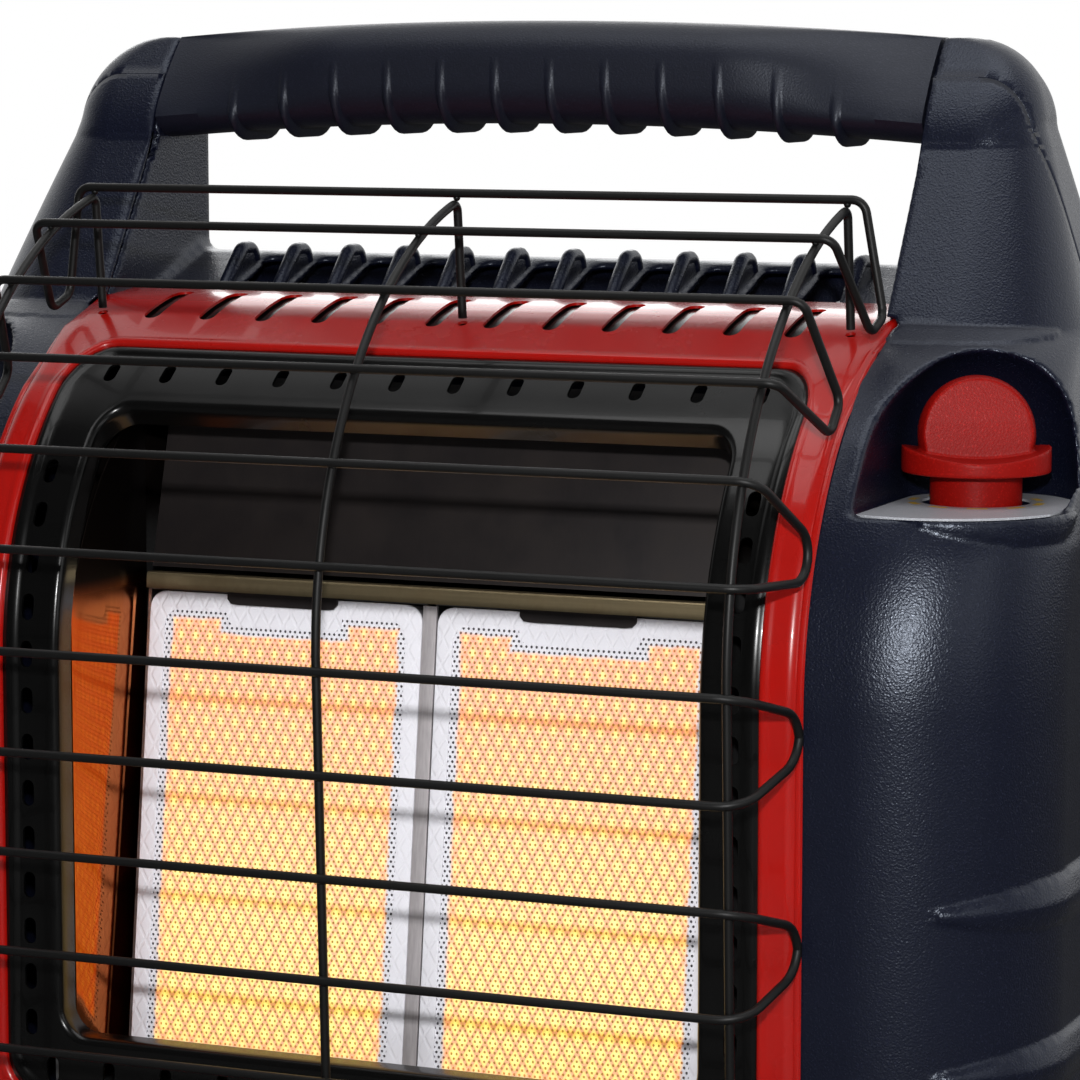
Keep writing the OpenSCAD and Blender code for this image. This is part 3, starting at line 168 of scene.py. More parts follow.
studio = {
    "fill": 0.28,  # even light from all round
    "front": 0.04,  # what gloss sees in front of the heater
    "turns": (-0.2, 0.4),  # where that changes to the white behind it
    "floor": 0.12,  # how much of the floor gloss sees
    "fades": (0.3, 0.75),  # metres from the heater at which the paper turns plain white
    "floorHalf": 12,
}
lamps = {  # name: (place, aim, size, watts)
    "flashLight": ((0.57, -1.285, 0.585), (0, 0, 0.22), (0.04, 0.04), 14.0),
    "topLight": ((0.1, -0.2, 1.6), (0, 0, 0.3), (1.4, 0.8), 8.0),
    "sideLight": ((1.5, -0.7, 0.7), (0.1, 0, 0.22), (0.6, 1.0), 2.5),
    "rearLight": ((-1.0, 1.9, 1.1), (0, 0, 0.22), (1.2, 0.8), 7.0),
}


def addLamp(name, spot, aim, size, power):
    data = bpy.data.lights.new(name, "AREA")
    data.shape = "RECTANGLE"
    data.size, data.size_y = size
    data.energy = power
    lamp = bpy.data.objects.new(name, data)
    lamp.location = spot
    lamp.rotation_euler = (Vector(aim) - Vector(spot)).to_track_quat("-Z", "Y").to_euler()
    bpy.context.collection.objects.link(lamp)


def addWorld():
    # even fill for matt surfaces, and for gloss a room that is white behind the heater and dim in front of it
    scene = bpy.context.scene
    scene.view_settings.view_transform = "Standard"
    scene.world = bpy.data.worlds.new("studio")
    scene.world.use_nodes = True
    tree = scene.world.node_tree
    tree.nodes.clear()
    rays = place(tree, "ShaderNodeLightPath").outputs
    where = place(tree, "ShaderNodeTexCoord")
    split = place(tree, "ShaderNodeSeparateXYZ", Vector=where.outputs["Generated"])
    room = ramp(tree, split.outputs["Y"], *studio["turns"], studio["front"], 1)
    gloss = place(tree, "ShaderNodeMix", Factor=rays["Is Glossy Ray"], A=studio["fill"], B=room)
    seen = calc(tree, "MAXIMUM", rays["Is Camera Ray"], rays["Is Transmission Ray"])
    last = place(tree, "ShaderNodeMix", Factor=seen, A=gloss.outputs["Result"], B=1)
    back = place(tree, "ShaderNodeBackground", Color=(1, 1, 1), Strength=last.outputs["Result"])
    place(tree, "ShaderNodeOutputWorld", Surface=back.outputs[0])


def floorPaper():
    # pale paper that fades to plain white away from the heater
    paper, tree, shader = startMaterial("floorPaper", Base_Color=(0.9, 0.9, 0.9), Roughness=0.9,
                                        Specular_IOR_Level=0.1)
    rays = place(tree, "ShaderNodeLightPath").outputs
    where = place(tree, "ShaderNodeTexCoord")
    away = place(tree, "ShaderNodeVectorMath", {"operation": "LENGTH"}, Vector=where.outputs["Object"])
    far = calc(tree, "MULTIPLY", ramp(tree, away.outputs["Value"], *studio["fades"]), rays["Is Camera Ray"])
    lit = blendShaders(tree, far, shader, place(tree, "ShaderNodeEmission"))
    dark = place(tree, "ShaderNodeBsdfDiffuse", Color=(0.01, 0.01, 0.01))
    gloss = calc(tree, "MULTIPLY", rays["Is Glossy Ray"], 1 - studio["floor"])
    feed(tree, tree.nodes["Material Output"], Surface=blendShaders(tree, gloss, lit, dark).outputs[0])
    return paper


def addFloor():
    half = studio["floorHalf"]
    mesh = bpy.data.meshes.new("floor")
    mesh.from_pydata([(-half, -half, 0), (half, -half, 0), (half, half, 0), (-half, half, 0)], [], [(0, 1, 2, 3)])
    mesh.materials.append(floorPaper())
    floor = bpy.data.objects.new("floor", mesh)
    bpy.context.collection.objects.link(floor)


addCamera()
addWorld()
for name, values in lamps.items():
    addLamp(name, *values)
addFloor()
print("studio set")


# shared effects for the materials

def newGroup(name, inputs, outputs):
    group = bpy.data.node_groups.new(name, "ShaderNodeTree")
    addInputs(group, inputs)
    for label in outputs:
        group.interface.new_socket(label, in_out="OUTPUT", socket_type="NodeSocketFloat")
    return group, group.nodes.new("NodeGroupInput").outputs, group.nodes.new("NodeGroupOutput")


def useGroup(tree, group, **values):
    return place(tree, "ShaderNodeGroup", {"node_tree": group}, **values).outputs


def makeGrain():
    # fine pitted texture of moulded plastic: a height, and flecks for colour and gloss
    group, get, sink = newGroup("mouldGrain", {"Size mm": 0.5}, ("Height", "Flecks"))
    where = place(group, "ShaderNodeTexCoord").outputs["Object"]
    scale = calc(group, "DIVIDE", 1000, get["Size mm"])
    fine = place(group, "ShaderNodeTexNoise", Vector=where, Scale=scale, Detail=2.0, Roughness=0.55).outputs["Fac"]
    cells = place(group, "ShaderNodeTexVoronoi", {"feature": "F1"}, Vector=where, Scale=scale).outputs["Distance"]
    feed(group, sink, Height=calc(group, "MULTIPLY_ADD", cells, 0.6, fine), Flecks=ramp(group, fine, 0.55, 0.75))
    return group


def makeCloud():
    # slow unevenness over a surface, from 0 to 1
    group, get, sink = newGroup("unevenness", {"Size mm": 40.0}, ("Mask",))
    where = place(group, "ShaderNodeTexCoord").outputs["Object"]
    scale = calc(group, "DIVIDE", 1000, get["Size mm"])
    noise = place(group, "ShaderNodeTexNoise", Vector=where, Scale=scale, Detail=4.0, Roughness=0.6)
    feed(group, sink, Mask=ramp(group, noise.outputs["Fac"], 0.3, 0.7))
    return group


def makeBrushed():
    # drawn or rolled metal: fine lines along the axis that is stretched least
    group, get, sink = newGroup("rolledLines", {"Stretch": (20, 900, 900)}, ("Height", "Mask"))
    where = place(group, "ShaderNodeTexCoord").outputs["Object"]
    grow = place(group, "ShaderNodeVectorMath", {"operation": "MULTIPLY"})
    plug(group, grow.inputs[0], where)
    plug(group, grow.inputs[1], get["Stretch"])
    noise = place(group, "ShaderNodeTexNoise", Vector=grow.outputs[0], Scale=1.0, Detail=3.0, Roughness=0.6)
    feed(group, sink, Height=noise.outputs["Fac"], Mask=ramp(group, noise.outputs["Fac"], 0.35, 0.65))
    return group


grainGroup = makeGrain()
cloudGroup = makeCloud()
brushedGroup = makeBrushed()


# materials

def addBump(tree, shader, height, strength, distance):
    bump = place(tree, "ShaderNodeBump", Strength=strength, Distance=distance * mm, Height=height)
    feed(tree, shader, Normal=bump.outputs["Normal"])


def darker(colour, share):
    return tuple(v * share for v in colour)


def plastic(name, colour, roughness=0.42, grain=0.45, bump=0.3, specular=0.4, sheen=(1, 1, 1)):
    material, tree, shader = startMaterial(name, Specular_IOR_Level=specular, Specular_Tint=sheen)
    fine = useGroup(tree, grainGroup, Size_mm=grain)
    cloud = useGroup(tree, cloudGroup, Size_mm=45.0)
    fleck = tuple(min(1, v * 1.5 + 0.003) for v in colour)
    tone = blendColours(tree, cloud["Mask"], colour, darker(colour, 0.86))
    feed(tree, shader, Base_Color=blendColours(tree, fine["Flecks"], tone, fleck),
         Roughness=spread(tree, fine["Flecks"], roughness, roughness - 0.1))
    addBump(tree, shader, fine["Height"], bump, 0.15)
    return material


def enamel(name, colour, roughness, coat):
    material, tree, shader = startMaterial(name, Coat_Weight=coat, Coat_Roughness=0.04, Specular_IOR_Level=0.3)
    cloud = useGroup(tree, cloudGroup, Size_mm=30.0)
    peel = useGroup(tree, cloudGroup, Size_mm=3.2)
    feed(tree, shader, Base_Color=blendColours(tree, cloud["Mask"], colour, darker(colour, 0.9)),
         Roughness=spread(tree, cloud["Mask"], roughness, roughness + 0.08))
    addBump(tree, shader, peel["Mask"], 0.015, 0.1)
    return material


def metal(name, colour, roughness=0.3, stretch=(30, 900, 900), tint=None, metallic=1.0, vary=0.12, darkAbove=None):
    # darkAbove: heights in mm between which it turns dark towards the top
    material, tree, shader = startMaterial(name, Metallic=metallic)
    lines = useGroup(tree, brushedGroup, Stretch=stretch)
    cloud = useGroup(tree, cloudGroup, Size_mm=22.0)
    tone = blendColours(tree, lines["Mask"], colour, darker(colour, 0.82))
    if tint:
        tone = blendColours(tree, cloud["Mask"], tone, tint)
    rough = spread(tree, cloud["Mask"], roughness, roughness + vary)
    if darkAbove:
        dark = between(tree, spotMm(tree)[2], *darkAbove)
        tone = blendColours(tree, dark, tone, (0.012, 0.009, 0.008))
        rough = calc(tree, "ADD", rough, calc(tree, "MULTIPLY", dark, 0.3), clamp=True)
    feed(tree, shader, Base_Color=tone, Roughness=rough)
    addBump(tree, shader, lines["Height"], 0.05, 0.05)
    return material


tile = {  # mm
    "wide": 104.4, "tall": 166, "thick": 13, "lean": 6.9, "front": 38.4, "low": 68, "middle": 55,
    "corner": 6, "foot": 2, "margin": 6, "notch": (22, 5), "pitch": 1.87, "hole": 0.52, "pit": 1.6, "recess": 0.3,
}
tileRow = tile["pitch"] * math.sqrt(3) / 2
tileCount = (int((tile["wide"] - 2 * tile["margin"] + 1.5) / tile["pitch"]) + 1,
             int((tile["tall"] - 2 * tile["margin"] + 1.5) / tileRow) + 1)


def makeGlow():
    # where a point of a tile lies: how far up it, how far inside its glowing field, how deep in a hole,
    # and how near one of the slanting grooves between its diamonds
    group, get, sink = newGroup("tilePlaces", {"Lean": math.radians(tile["lean"])},
                                ("Up", "Inside mm", "Depth mm", "Groove mm"))
    x, y, z = spotMm(group)
    sine, cosine = (calc(group, kind, get["Lean"]) for kind in ("SINE", "COSINE"))
    y, z = calc(group, "ADD", y, tile["front"]), calc(group, "SUBTRACT", z, tile["low"])
    v = calc(group, "ADD", calc(group, "MULTIPLY", y, sine), calc(group, "MULTIPLY", z, cosine))
    depth = calc(group, "SUBTRACT", calc(group, "MULTIPLY", y, cosine), calc(group, "MULTIPLY", z, sine))
    u = calc(group, "SUBTRACT", calc(group, "ABSOLUTE", x), tile["middle"])
    side = calc(group, "ABSOLUTE", u)
    top = tile["tall"] - tile["margin"]
    notchHalf, notchDeep = tile["notch"]
    notch = calc(group, "MAXIMUM", calc(group, "SUBTRACT", side, notchHalf),
                 calc(group, "SUBTRACT", top - notchDeep, v))
    inside = calc(group, "SUBTRACT", tile["wide"] / 2 - tile["margin"], side)
    for limit in (calc(group, "SUBTRACT", v, tile["margin"]), calc(group, "SUBTRACT", top, v), notch):
        inside = calc(group, "MINIMUM", inside, limit)
    # the lattice's first hole
    firstU = -((tileCount[0] - 1) / 2 + 0.25) * tile["pitch"]
    firstV = tile["tall"] / 2 - (tileCount[1] - 1) / 2 * tileRow
    across = calc(group, "MULTIPLY", calc(group, "SUBTRACT", u, firstU), math.sin(math.radians(60)))
    up = calc(group, "MULTIPLY", calc(group, "SUBTRACT", v, firstV), 0.5)
    lines = [calc(group, "PINGPONG", calc(group, kind, across, up), tileRow * 1.5) for kind in ("ADD", "SUBTRACT")]
    feed(group, sink, Up=calc(group, "DIVIDE", v, tile["tall"]), Inside_mm=inside, Depth_mm=depth,
         Groove_mm=calc(group, "MINIMUM", *lines))
    return group


ember = {
    "low": (1.0, 0.62, 0.06), "high": (0.9, 0.29, 0.05), "spotLow": (1.0, 0.9, 0.14), "spotHigh": (1.0, 0.68, 0.08),
    "grooveLow": (0.66, 0.22, 0.03), "grooveHigh": (0.62, 0.12, 0.04), "hole": (0.34, 0.16, 0.01),
    "edge": (0.9, 0.24, 0.06), "cold": (0.76, 0.75, 0.8), "coldFleck": (0.84, 0.84, 0.86),
    "holeShade": (0.16, 0.15, 0.16), "warm": (0.42, 0.39, 0.32),
}


def ceramic(name):
    material, tree, shader = startMaterial(name, Roughness=0.75, Specular_IOR_Level=0.25)
    at = useGroup(tree, makeGlow())
    grain = useGroup(tree, grainGroup, Size_mm=0.35)
    cloud = useGroup(tree, cloudGroup, Size_mm=9.0)["Mask"]
    groove = between(tree, at["Groove mm"], 0.75, 0.3)
    spot = between(tree, at["Groove mm"], 0.9, 2.1)
    hole = between(tree, at["Depth mm"], tile["recess"] + 0.05, tile["recess"] + 0.5)
    rough = calc(tree, "ADD", at["Inside mm"], calc(tree, "MULTIPLY", cloud, -1.4))  # the field's ragged edge
    lit = between(tree, rough, 1.5, 3.2)
    middle = between(tree, rough, 2.6, 6.0)
    warmth = between(tree, at["Up"], 0.15, 0.95)
    base, bright, line = (blendColours(tree, warmth, ember[low], ember[high]) for low, high in (
        ("low", "high"), ("spotLow", "spotHigh"), ("grooveLow", "grooveHigh")))
    glow = blendColours(tree, spot, base, bright)
    glow = blendColours(tree, groove, glow, line)
    glow = blendColours(tree, calc(tree, "MULTIPLY", hole, 0.85), glow, ember["hole"])
    glow = blendColours(tree, calc(tree, "MULTIPLY_ADD", middle, -0.45, 0.45), glow, ember["edge"])
    flicker = calc(tree, "MULTIPLY_ADD", cloud, 0.1, 0.92)
    cold = blendColours(tree, calc(tree, "MULTIPLY", grain["Flecks"], 0.5), ember["cold"], ember["coldFleck"])
    # painted shade: inside every hole the paste's colour turns dark grey
    paste = blendColours(tree, hole, blendColours(tree, lit, cold, ember["warm"]), ember["holeShade"])
    feed(tree, shader, Base_Color=paste, Emission_Color=glow, Emission_Strength=calc(tree, "MULTIPLY", lit, flicker))
    relief = calc(tree, "SUBTRACT", calc(tree, "MULTIPLY", grain["Height"], 0.2), groove)
    addBump(tree, shader, relief, 0.5, 0.3)
    return material


knobBox = [nodes["control_knob"].matrix_world @ Vector(c) for c in nodes["control_knob"].bound_box]
dial = {  # a ring of strokes round the knob's hole, in mm and degrees
    "middle": sum(knobBox, Vector()) / 8 / mm, "radius": 21.2, "long": 6.5, "wide": 2.5, "every": 36,
    "colour": (0.34, 0.35, 0.38), "paint": (0.62, 0.4, 0.03),
}


def dialFace(name):
    material = plastic(name, dial["colour"], 0.34, 0.6, 0.06, 0.5)
    tree = material.node_tree
    colour = tree.nodes["Principled BSDF"].inputs["Base Color"]
    x, y = (calc(tree, "SUBTRACT", spot, middle) for spot, middle in zip(spotMm(tree)[:2], dial["middle"]))
    away = calc(tree, "SQRT", calc(tree, "ADD", calc(tree, "MULTIPLY", x, x), calc(tree, "MULTIPLY", y, y)))
    turn = calc(tree, "PINGPONG", calc(tree, "ARCTAN2", y, x), math.radians(dial["every"] / 2))
    arc = calc(tree, "MULTIPLY", turn, away)
    ring = calc(tree, "ABSOLUTE", calc(tree, "SUBTRACT", away, dial["radius"]))
    stroke = calc(tree, "MULTIPLY", between(tree, arc, dial["long"] / 2 + 0.3, dial["long"] / 2 - 0.1),
                  between(tree, ring, dial["wide"] / 2 + 0.25, dial["wide"] / 2 - 0.15))
    plug(tree, colour, blendColours(tree, stroke, colour.links[0].from_socket, dial["paint"]))
    return material


finish = {
    # the blue sheen of the casing and the handle is a painted highlight colour, standing in for the flash's bluish
    # light
    "casing": plastic("navyCasing", (0.0035, 0.0045, 0.0125), 0.32, 0.75, 0.7, 0.44, (0.78, 0.86, 1.0)),
    "handle": plastic("navyHandle", (0.005, 0.006, 0.013), 0.46, 0.7, 0.4, 0.42, (0.85, 0.9, 1.0)),
    "base": plastic("charcoalBase", (0.010, 0.011, 0.016), 0.46, 0.7, 0.4),
    "red_paint": enamel("redEnamel", (0.33, 0.004, 0.002), 0.22, 0.3),
    "black_enamel": enamel("blackEnamel", (0.002, 0.002, 0.002), 0.2, 0.12),
    "wire_black": enamel("blackWireCoat", (0.004, 0.004, 0.004), 0.42, 0.0),
    "steel_sheet": metal("sheetSteel", (0.4, 0.4, 0.41), 0.34, darkAbove=(228, 262)),
    "reflector": metal("heatTintedReflector", (0.46, 0.13, 0.035), 0.05, (900, 900, 20), (0.38, 0.095, 0.025),
                       vary=0.03, darkAbove=(227, 240)),
    "dark_steel": metal("heatDarkSteel", (0.015, 0.012, 0.013), 0.5, (900, 900, 30), (0.021, 0.016, 0.015),
                        metallic=0.5),
    "strip_steel": metal("stripSteel", (0.44, 0.41, 0.42), 0.5, (900, 900, 20), metallic=0.25),
    "retainer_brass": metal("tintedRetainer", (0.62, 0.5, 0.3), 0.34, (20, 900, 900), (0.3, 0.23, 0.13)),
    "brass": metal("machinedBrass", (0.6, 0.42, 0.16), 0.26),
    "copper_line": metal("copperTube", (0.62, 0.3, 0.16), 0.28),
    "gas_tube": metal("bentTube", (0.6, 0.6, 0.62), 0.32),
    "die_cast": metal("dieCastAlloy", (0.5, 0.5, 0.51), 0.42, (500, 500, 500)),
    "bright_steel": metal("platedSteel", (0.62, 0.62, 0.6), 0.26, (500, 500, 500)),
    "red_plastic": plastic("redKnobPlastic", (0.235, 0.0035, 0.002), 0.42, 0.7, 0.3, 0.1),
    "rubber": plastic("footRubber", (0.012, 0.012, 0.012), 0.7, 0.6, 0.3, 0.25),
    "black_plastic": plastic("blackFittings", (0.012, 0.012, 0.013), 0.45, 0.5, 0.25),
    "pale_plastic": plastic("paleSwitch", (0.55, 0.51, 0.43), 0.45, 0.5, 0.15),
    "porcelain": plastic("electrodePorcelain", (0.75, 0.74, 0.7), 0.2, 0.5, 0.03, 0.5),
    "lead": plastic("leadRubber", (0.2, 0.012, 0.012), 0.45, 0.4, 0.1),
    "dial": dialFace("dialPlate"),
    "ceramic": ceramic("glowingTile"),
}
slotOf = {entry["node"]: entry["material_slot"] for entry in frame["record"]["subparts"]}
bodyOf = {node: body for body, group in frame["record"]["behaviour"]["bodies"].items() for node in group}


def paint(mesh, material):
    mesh.materials.clear()
    mesh.materials.append(material)


for name, node in nodes.items():
    paint(node.data, finish[slotOf[name]])
print("finishes made:", len(finish))


# ways to make a piece

def addPiece(name, mesh, material=None):
    piece = bpy.data.objects.new(name, mesh)
    bpy.context.collection.objects.link(piece)
    if material:
        paint(mesh, material)
    return piece


def meshFrom(name, points, faces, edges=()):
    mesh = bpy.data.meshes.new(name)
    mesh.from_pydata([Vector(p) * mm for p in points], list(edges), list(faces))
    return mesh


def rework(mesh, *steps):
    work = bmesh.new()
    work.from_mesh(mesh)
    for step in steps:
        step(work)
    work.to_mesh(mesh)
    work.free()
    return mesh


def mergeDoubles(work):
    bmesh.ops.remove_doubles(work, verts=work.verts, dist=2e-6)


def joinFlats(work):
    bmesh.ops.dissolve_limit(work, angle_limit=math.radians(0.6), verts=work.verts, edges=work.edges)


def faceOut(work):
    bmesh.ops.recalc_face_normals(work, faces=work.faces)


def joined(name, meshes):
    work = bmesh.new()
    for mesh in meshes:
        work.from_mesh(mesh)
    mesh = bpy.data.meshes.new(name)
    work.to_mesh(mesh)
    work.free()
    return mesh


def settle(piece):
    # makes the modifiers' result the piece's own mesh
    graph = bpy.context.evaluated_depsgraph_get()
    mesh = bpy.data.meshes.new_from_object(piece.evaluated_get(graph), preserve_all_data_layers=True, depsgraph=graph)
    old = piece.data
    piece.modifiers.clear()
    piece.data = mesh
    if old.users == 0:
        bpy.data.meshes.remove(old)
    return piece


def modify(piece, kind, **settings):
    modifier = piece.modifiers.new(kind.lower(), kind)
    for key, value in settings.items():
        setattr(modifier, key, value)
    return settle(piece)


def softenShade(piece, degrees=32):
    mesh = piece.data
    mesh.polygons.foreach_set("use_smooth", [True] * len(mesh.polygons))
    mesh.set_sharp_from_angle(angle=math.radians(degrees))
    return piece


def rideWith(piece, node):
    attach(piece, bodyOf[node])
    return piece


def standFor(piece, node):
    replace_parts(rideWith(piece, node), node)
    return piece


def dressNode(name, bevel=0.0):
    # a copy of a node with its flat faces joined, its edges softened and its curves shaded smooth
    mesh = nodes[name].data.copy()
    mesh.name = name + "Dressed"
    piece = addPiece(mesh.name, rework(mesh, mergeDoubles, joinFlats))
    if bevel:
        modify(piece, "BEVEL", width=bevel * mm, segments=2, limit_method="ANGLE", angle_limit=math.radians(35),
               harden_normals=False)
    return standFor(softenShade(piece), name)


# geometry nodes helpers

def startTree(name, inputs):
    tree = bpy.data.node_groups.new(name, "GeometryNodeTree")
    tree.interface.new_socket("Geometry", in_out="INPUT", socket_type="NodeSocketGeometry")
    addInputs(tree, inputs)
    tree.interface.new_socket("Material", in_out="INPUT", socket_type="NodeSocketMaterial")
    tree.interface.new_socket("Geometry", in_out="OUTPUT", socket_type="NodeSocketGeometry")
    return tree, tree.nodes.new("NodeGroupInput").outputs


def endTree(tree, geometry, get, smooth=True):
    real = place(tree, "GeometryNodeRealizeInstances", Geometry=geometry)
    shade = place(tree, "GeometryNodeSetShadeSmooth", Geometry=real.outputs["Geometry"], Shade_Smooth=smooth)
    coat = place(tree, "GeometryNodeSetMaterial", Geometry=shade.outputs["Geometry"], Material=get["Material"])
    place(tree, "NodeGroupOutput", Geometry=coat.outputs["Geometry"])
    return tree


def runTree(piece, tree, **values):
    modifier = piece.modifiers.new("build", "NODES")
    modifier.node_group = tree
    sockets = {item.name: item.identifier for item in tree.interface.items_tree if item.in_out == "INPUT"}
    for key, value in values.items():
        modifier[sockets[key.replace("_", " ")]] = value
    return settle(piece)


# wire guard

guard = {  # mm
    "wire": 3.0, "pitch": 33.9, "half": 146, "upright": 140, "loop": 38, "out": 6, "bend": (5, 8.5, 11.5),
    "radius": 147.5, "front": 111, "spring": 228, "lean": 0.04, "first": -4.5, "sides": 14, "bars": 12,
    "bow": 7,  # half the height of a loop's straight back
    "gap": 4.9,  # left between the lower loops and the casing's front
    "foot": (-68, 53), "head": (9, 329), "headBend": 3.0,  # (y, z) where the uprights enter the bezel
    "arcSteps": 28, "weld": 1.25,
}
casingFront = 69
uprights = (-guard["upright"], 0, guard["upright"])


def onGuard(along, inward):
    # (y, z) on the guard's front, this far up from where its curve springs
    if along < 0:
        return inward - guard["front"] - along * guard["lean"], guard["spring"] + along
    a = along / guard["radius"]
    r = guard["radius"] - inward
    return guard["radius"] - guard["front"] - r * math.cos(a), guard["spring"] + r * math.sin(a)


def barPlace(k):
    return (7 - k) * guard["pitch"] + guard["first"]


def roundPath(points, bend, closed=False, steps=6):
    # rounds the corners of a path of straight wires
    points = [Vector(p) for p in points]
    n = len(points)
    out = []
    for i, corner in enumerate(points):
        if not closed and i in (0, n - 1):
            out.append(corner)
            continue
        u = (corner - points[i - 1]).normalized()
        v = (points[(i + 1) % n] - corner).normalized()
        turn = u.angle(v)
        if turn < 0.02:
            out.append(corner)
            continue
        start = corner - u * bend * math.tan(turn / 2)
        centre = corner + (v - u).normalized() * bend / math.cos(turn / 2)
        arm = start - centre
        side = u * arm.length
        out += [centre + arm * math.cos(turn * k / steps) + side * math.sin(turn * k / steps)
                for k in range(steps + 1)]
    return out


def barLoop(k):
    # two bars and the loops that join them at both ends
    a, b = onGuard(barPlace(k), 0), onGuard(barPlace(k + 1), 0)
    mid = barPlace(k + 0.5)
    turn = max(0, mid) / guard["radius"]
    inward = (math.cos(turn), -math.sin(turn))
    along = (-inward[1], inward[0])
    front = onGuard(mid, 0)
    reach = -casingFront - guard["gap"] - front[0] if mid < 0 else guard["loop"]
    back = (front[0] + inward[0] * reach, front[1] + inward[1] * reach)
    up = (back[0] + along[0] * guard["bow"], back[1] + along[1] * guard["bow"])
    down = (back[0] - along[0] * guard["bow"], back[1] - along[1] * guard["bow"])
    half, x = guard["half"], guard["half"] + guard["out"]
    corners = [(-half, *a), (half, *a), (x, *up), (x, *down), (half, *b), (-half, *b), (-x, *down), (-x, *up)]
    return roundPath(corners, guard["bend"][(k > 4) + (k > 6)], True)


def uprightPath(x):
    inward, steps = guard["wire"] + 0.15, guard["arcSteps"]
    y, z = guard["foot"]
    foot, start = onGuard(z - guard["spring"], inward), onGuard(0, inward)
    arc = [onGuard(barPlace(1) * t / steps, inward) for t in range(1, steps + 1)]
    low = roundPath([(x, y, z), (x, foot[0], z), (x, *start)], guard["bend"][0])
    top = roundPath([(x, *arc[-2]), (x, *arc[-1]), (x, *guard["head"])], guard["headBend"])
    return low + [Vector((x, *p)) for p in arc[:-1]] + top[1:]


def makeWireTree():
    # every edge chain becomes a wire and every loose point a weld
    tree, get = startTree("wireWork", {"Wire radius": 0.0015, "Sides": 12, "Weld size": 0.0018})
    lines = place(tree, "GeometryNodeMeshToCurve", Mesh=get["Geometry"])
    ring = place(tree, "GeometryNodeCurvePrimitiveCircle", Resolution=get["Sides"], Radius=get["Wire radius"])
    wires = place(tree, "GeometryNodeCurveToMesh", Curve=lines.outputs["Curve"], Profile_Curve=ring.outputs["Curve"],
                  Fill_Caps=True)
    near = place(tree, "GeometryNodeInputMeshVertexNeighbors")
    loose = place(tree, "FunctionNodeCompare", {"data_type": "INT", "operation": "EQUAL"})
    plug(tree, loose.inputs[2], near.outputs["Vertex Count"])
    dots = place(tree, "GeometryNodeMeshToPoints", Mesh=get["Geometry"], Selection=loose.outputs[0])
    bead = place(tree, "GeometryNodeMeshIcoSphere", Subdivisions=2, Radius=get["Weld size"])
    welds = place(tree, "GeometryNodeInstanceOnPoints", Points=dots.outputs["Points"], Instance=bead.outputs["Mesh"])
    both = place(tree, "GeometryNodeJoinGeometry")
    for part in (wires.outputs["Mesh"], welds.outputs["Instances"]):
        plug(tree, both.inputs[0], part)
    return endTree(tree, both.outputs[0], get)


wireTree = makeWireTree()


def makeWires(name, loops=(), lines=(), welds=(), radius=1.5, sides=12, weld=1.75, slot="casing"):
    points, edges = [], []
    for paths, closed in ((loops, True), (lines, False)):
        for path in paths:
            first, n = len(points), len(path)
            points += path
            edges += [(first + i, first + i + 1) for i in range(n - 1)]
            if closed:
                edges.append((first + n - 1, first))
    points += [Vector(w) for w in welds]
    piece = addPiece(name, meshFrom(name, points, [], edges))
    return runTree(piece, wireTree, Wire_radius=radius * mm, Sides=sides, Weld_size=weld * mm, Material=finish[slot])


guardWire = {"radius": guard["wire"] / 2, "sides": guard["sides"], "weld": guard["weld"], "slot": "wire_black"}
crossings = [(x, *onGuard(barPlace(k), guard["wire"] / 2 + 0.1)) for k in range(1, guard["bars"] + 1)
             for x in uprights]
standFor(makeWires("guardUpper", loops=[barLoop(k) for k in (1, 3, 5)], **guardWire), "guard_bars_upper")
standFor(makeWires("guardLower", loops=[barLoop(k) for k in (7, 9, 11)], **guardWire), "guard_bars_lower")
standFor(makeWires("guardUprights", lines=[uprightPath(x) for x in uprights], welds=crossings, **guardWire),
         "guard_uprights")
print("guard made")


# sheets on the rolled front

roll = {"radius": 120, "depth": 51, "height": 212}  # mm
ribRow = {"count": 12, "pitch": 21.8}  # the bezel's slots, the frame's upper and lower holes and the vent ribs
rowPlaces = [(k - (ribRow["count"] - 1) / 2) * ribRow["pitch"] for k in range(ribRow["count"])]


def onRoll(x, along, out=0.0):
    # a point at x, this far up the sheet from where the roll begins, and this far out from its face
    r = roll["radius"] + out
    quarter = roll["radius"] * math.pi / 2
    if along <= 0:
        return Vector((x, roll["depth"] - r, roll["height"] + along))
    if along >= quarter:
        return Vector((x, roll["depth"] + along - quarter, roll["height"] + r))
    a = along / roll["radius"]
    return Vector((x, roll["depth"] - r * math.cos(a), roll["height"] + r * math.sin(a)))


def upRoll(z):
    # how far up the sheet the height z lies
    if z <= roll["height"]:
        return z - roll["height"]
    return roll["radius"] * math.asin(min(1, (z - roll["height"]) / roll["radius"]))


def windowRing(window, count):
    # a rounded window drawn from the front: (x, along) pairs with matching counts on each side
    half, z0, z1, r = window
    nx, nz = count
    ring = []
    corner = 8

    def side(a, b, n):
        for i in range(n):
            t = i / n
            ring.append((a[0] + (b[0] - a[0]) * t, upRoll(a[1] + (b[1] - a[1]) * t)))

    def turn(cx, cz, start):
        for i in range(corner):
            a = math.radians(start + 90 * i / corner)
            ring.append((cx + r * math.cos(a), upRoll(cz + r * math.sin(a))))

    side((-half + r, z0), (half - r, z0), nx)
    turn(half - r, z0 + r, -90)
    side((half, z0 + r), (half, z1 - r), nz)
    turn(half - r, z1 - r, 0)
    side((half - r, z1), (-half + r, z1), nx)
    turn(-half + r, z1 - r, 90)
    side((-half, z1 - r), (-half, z0 + r), nz)
    turn(-half + r, z0 + r, 180)
    return ring


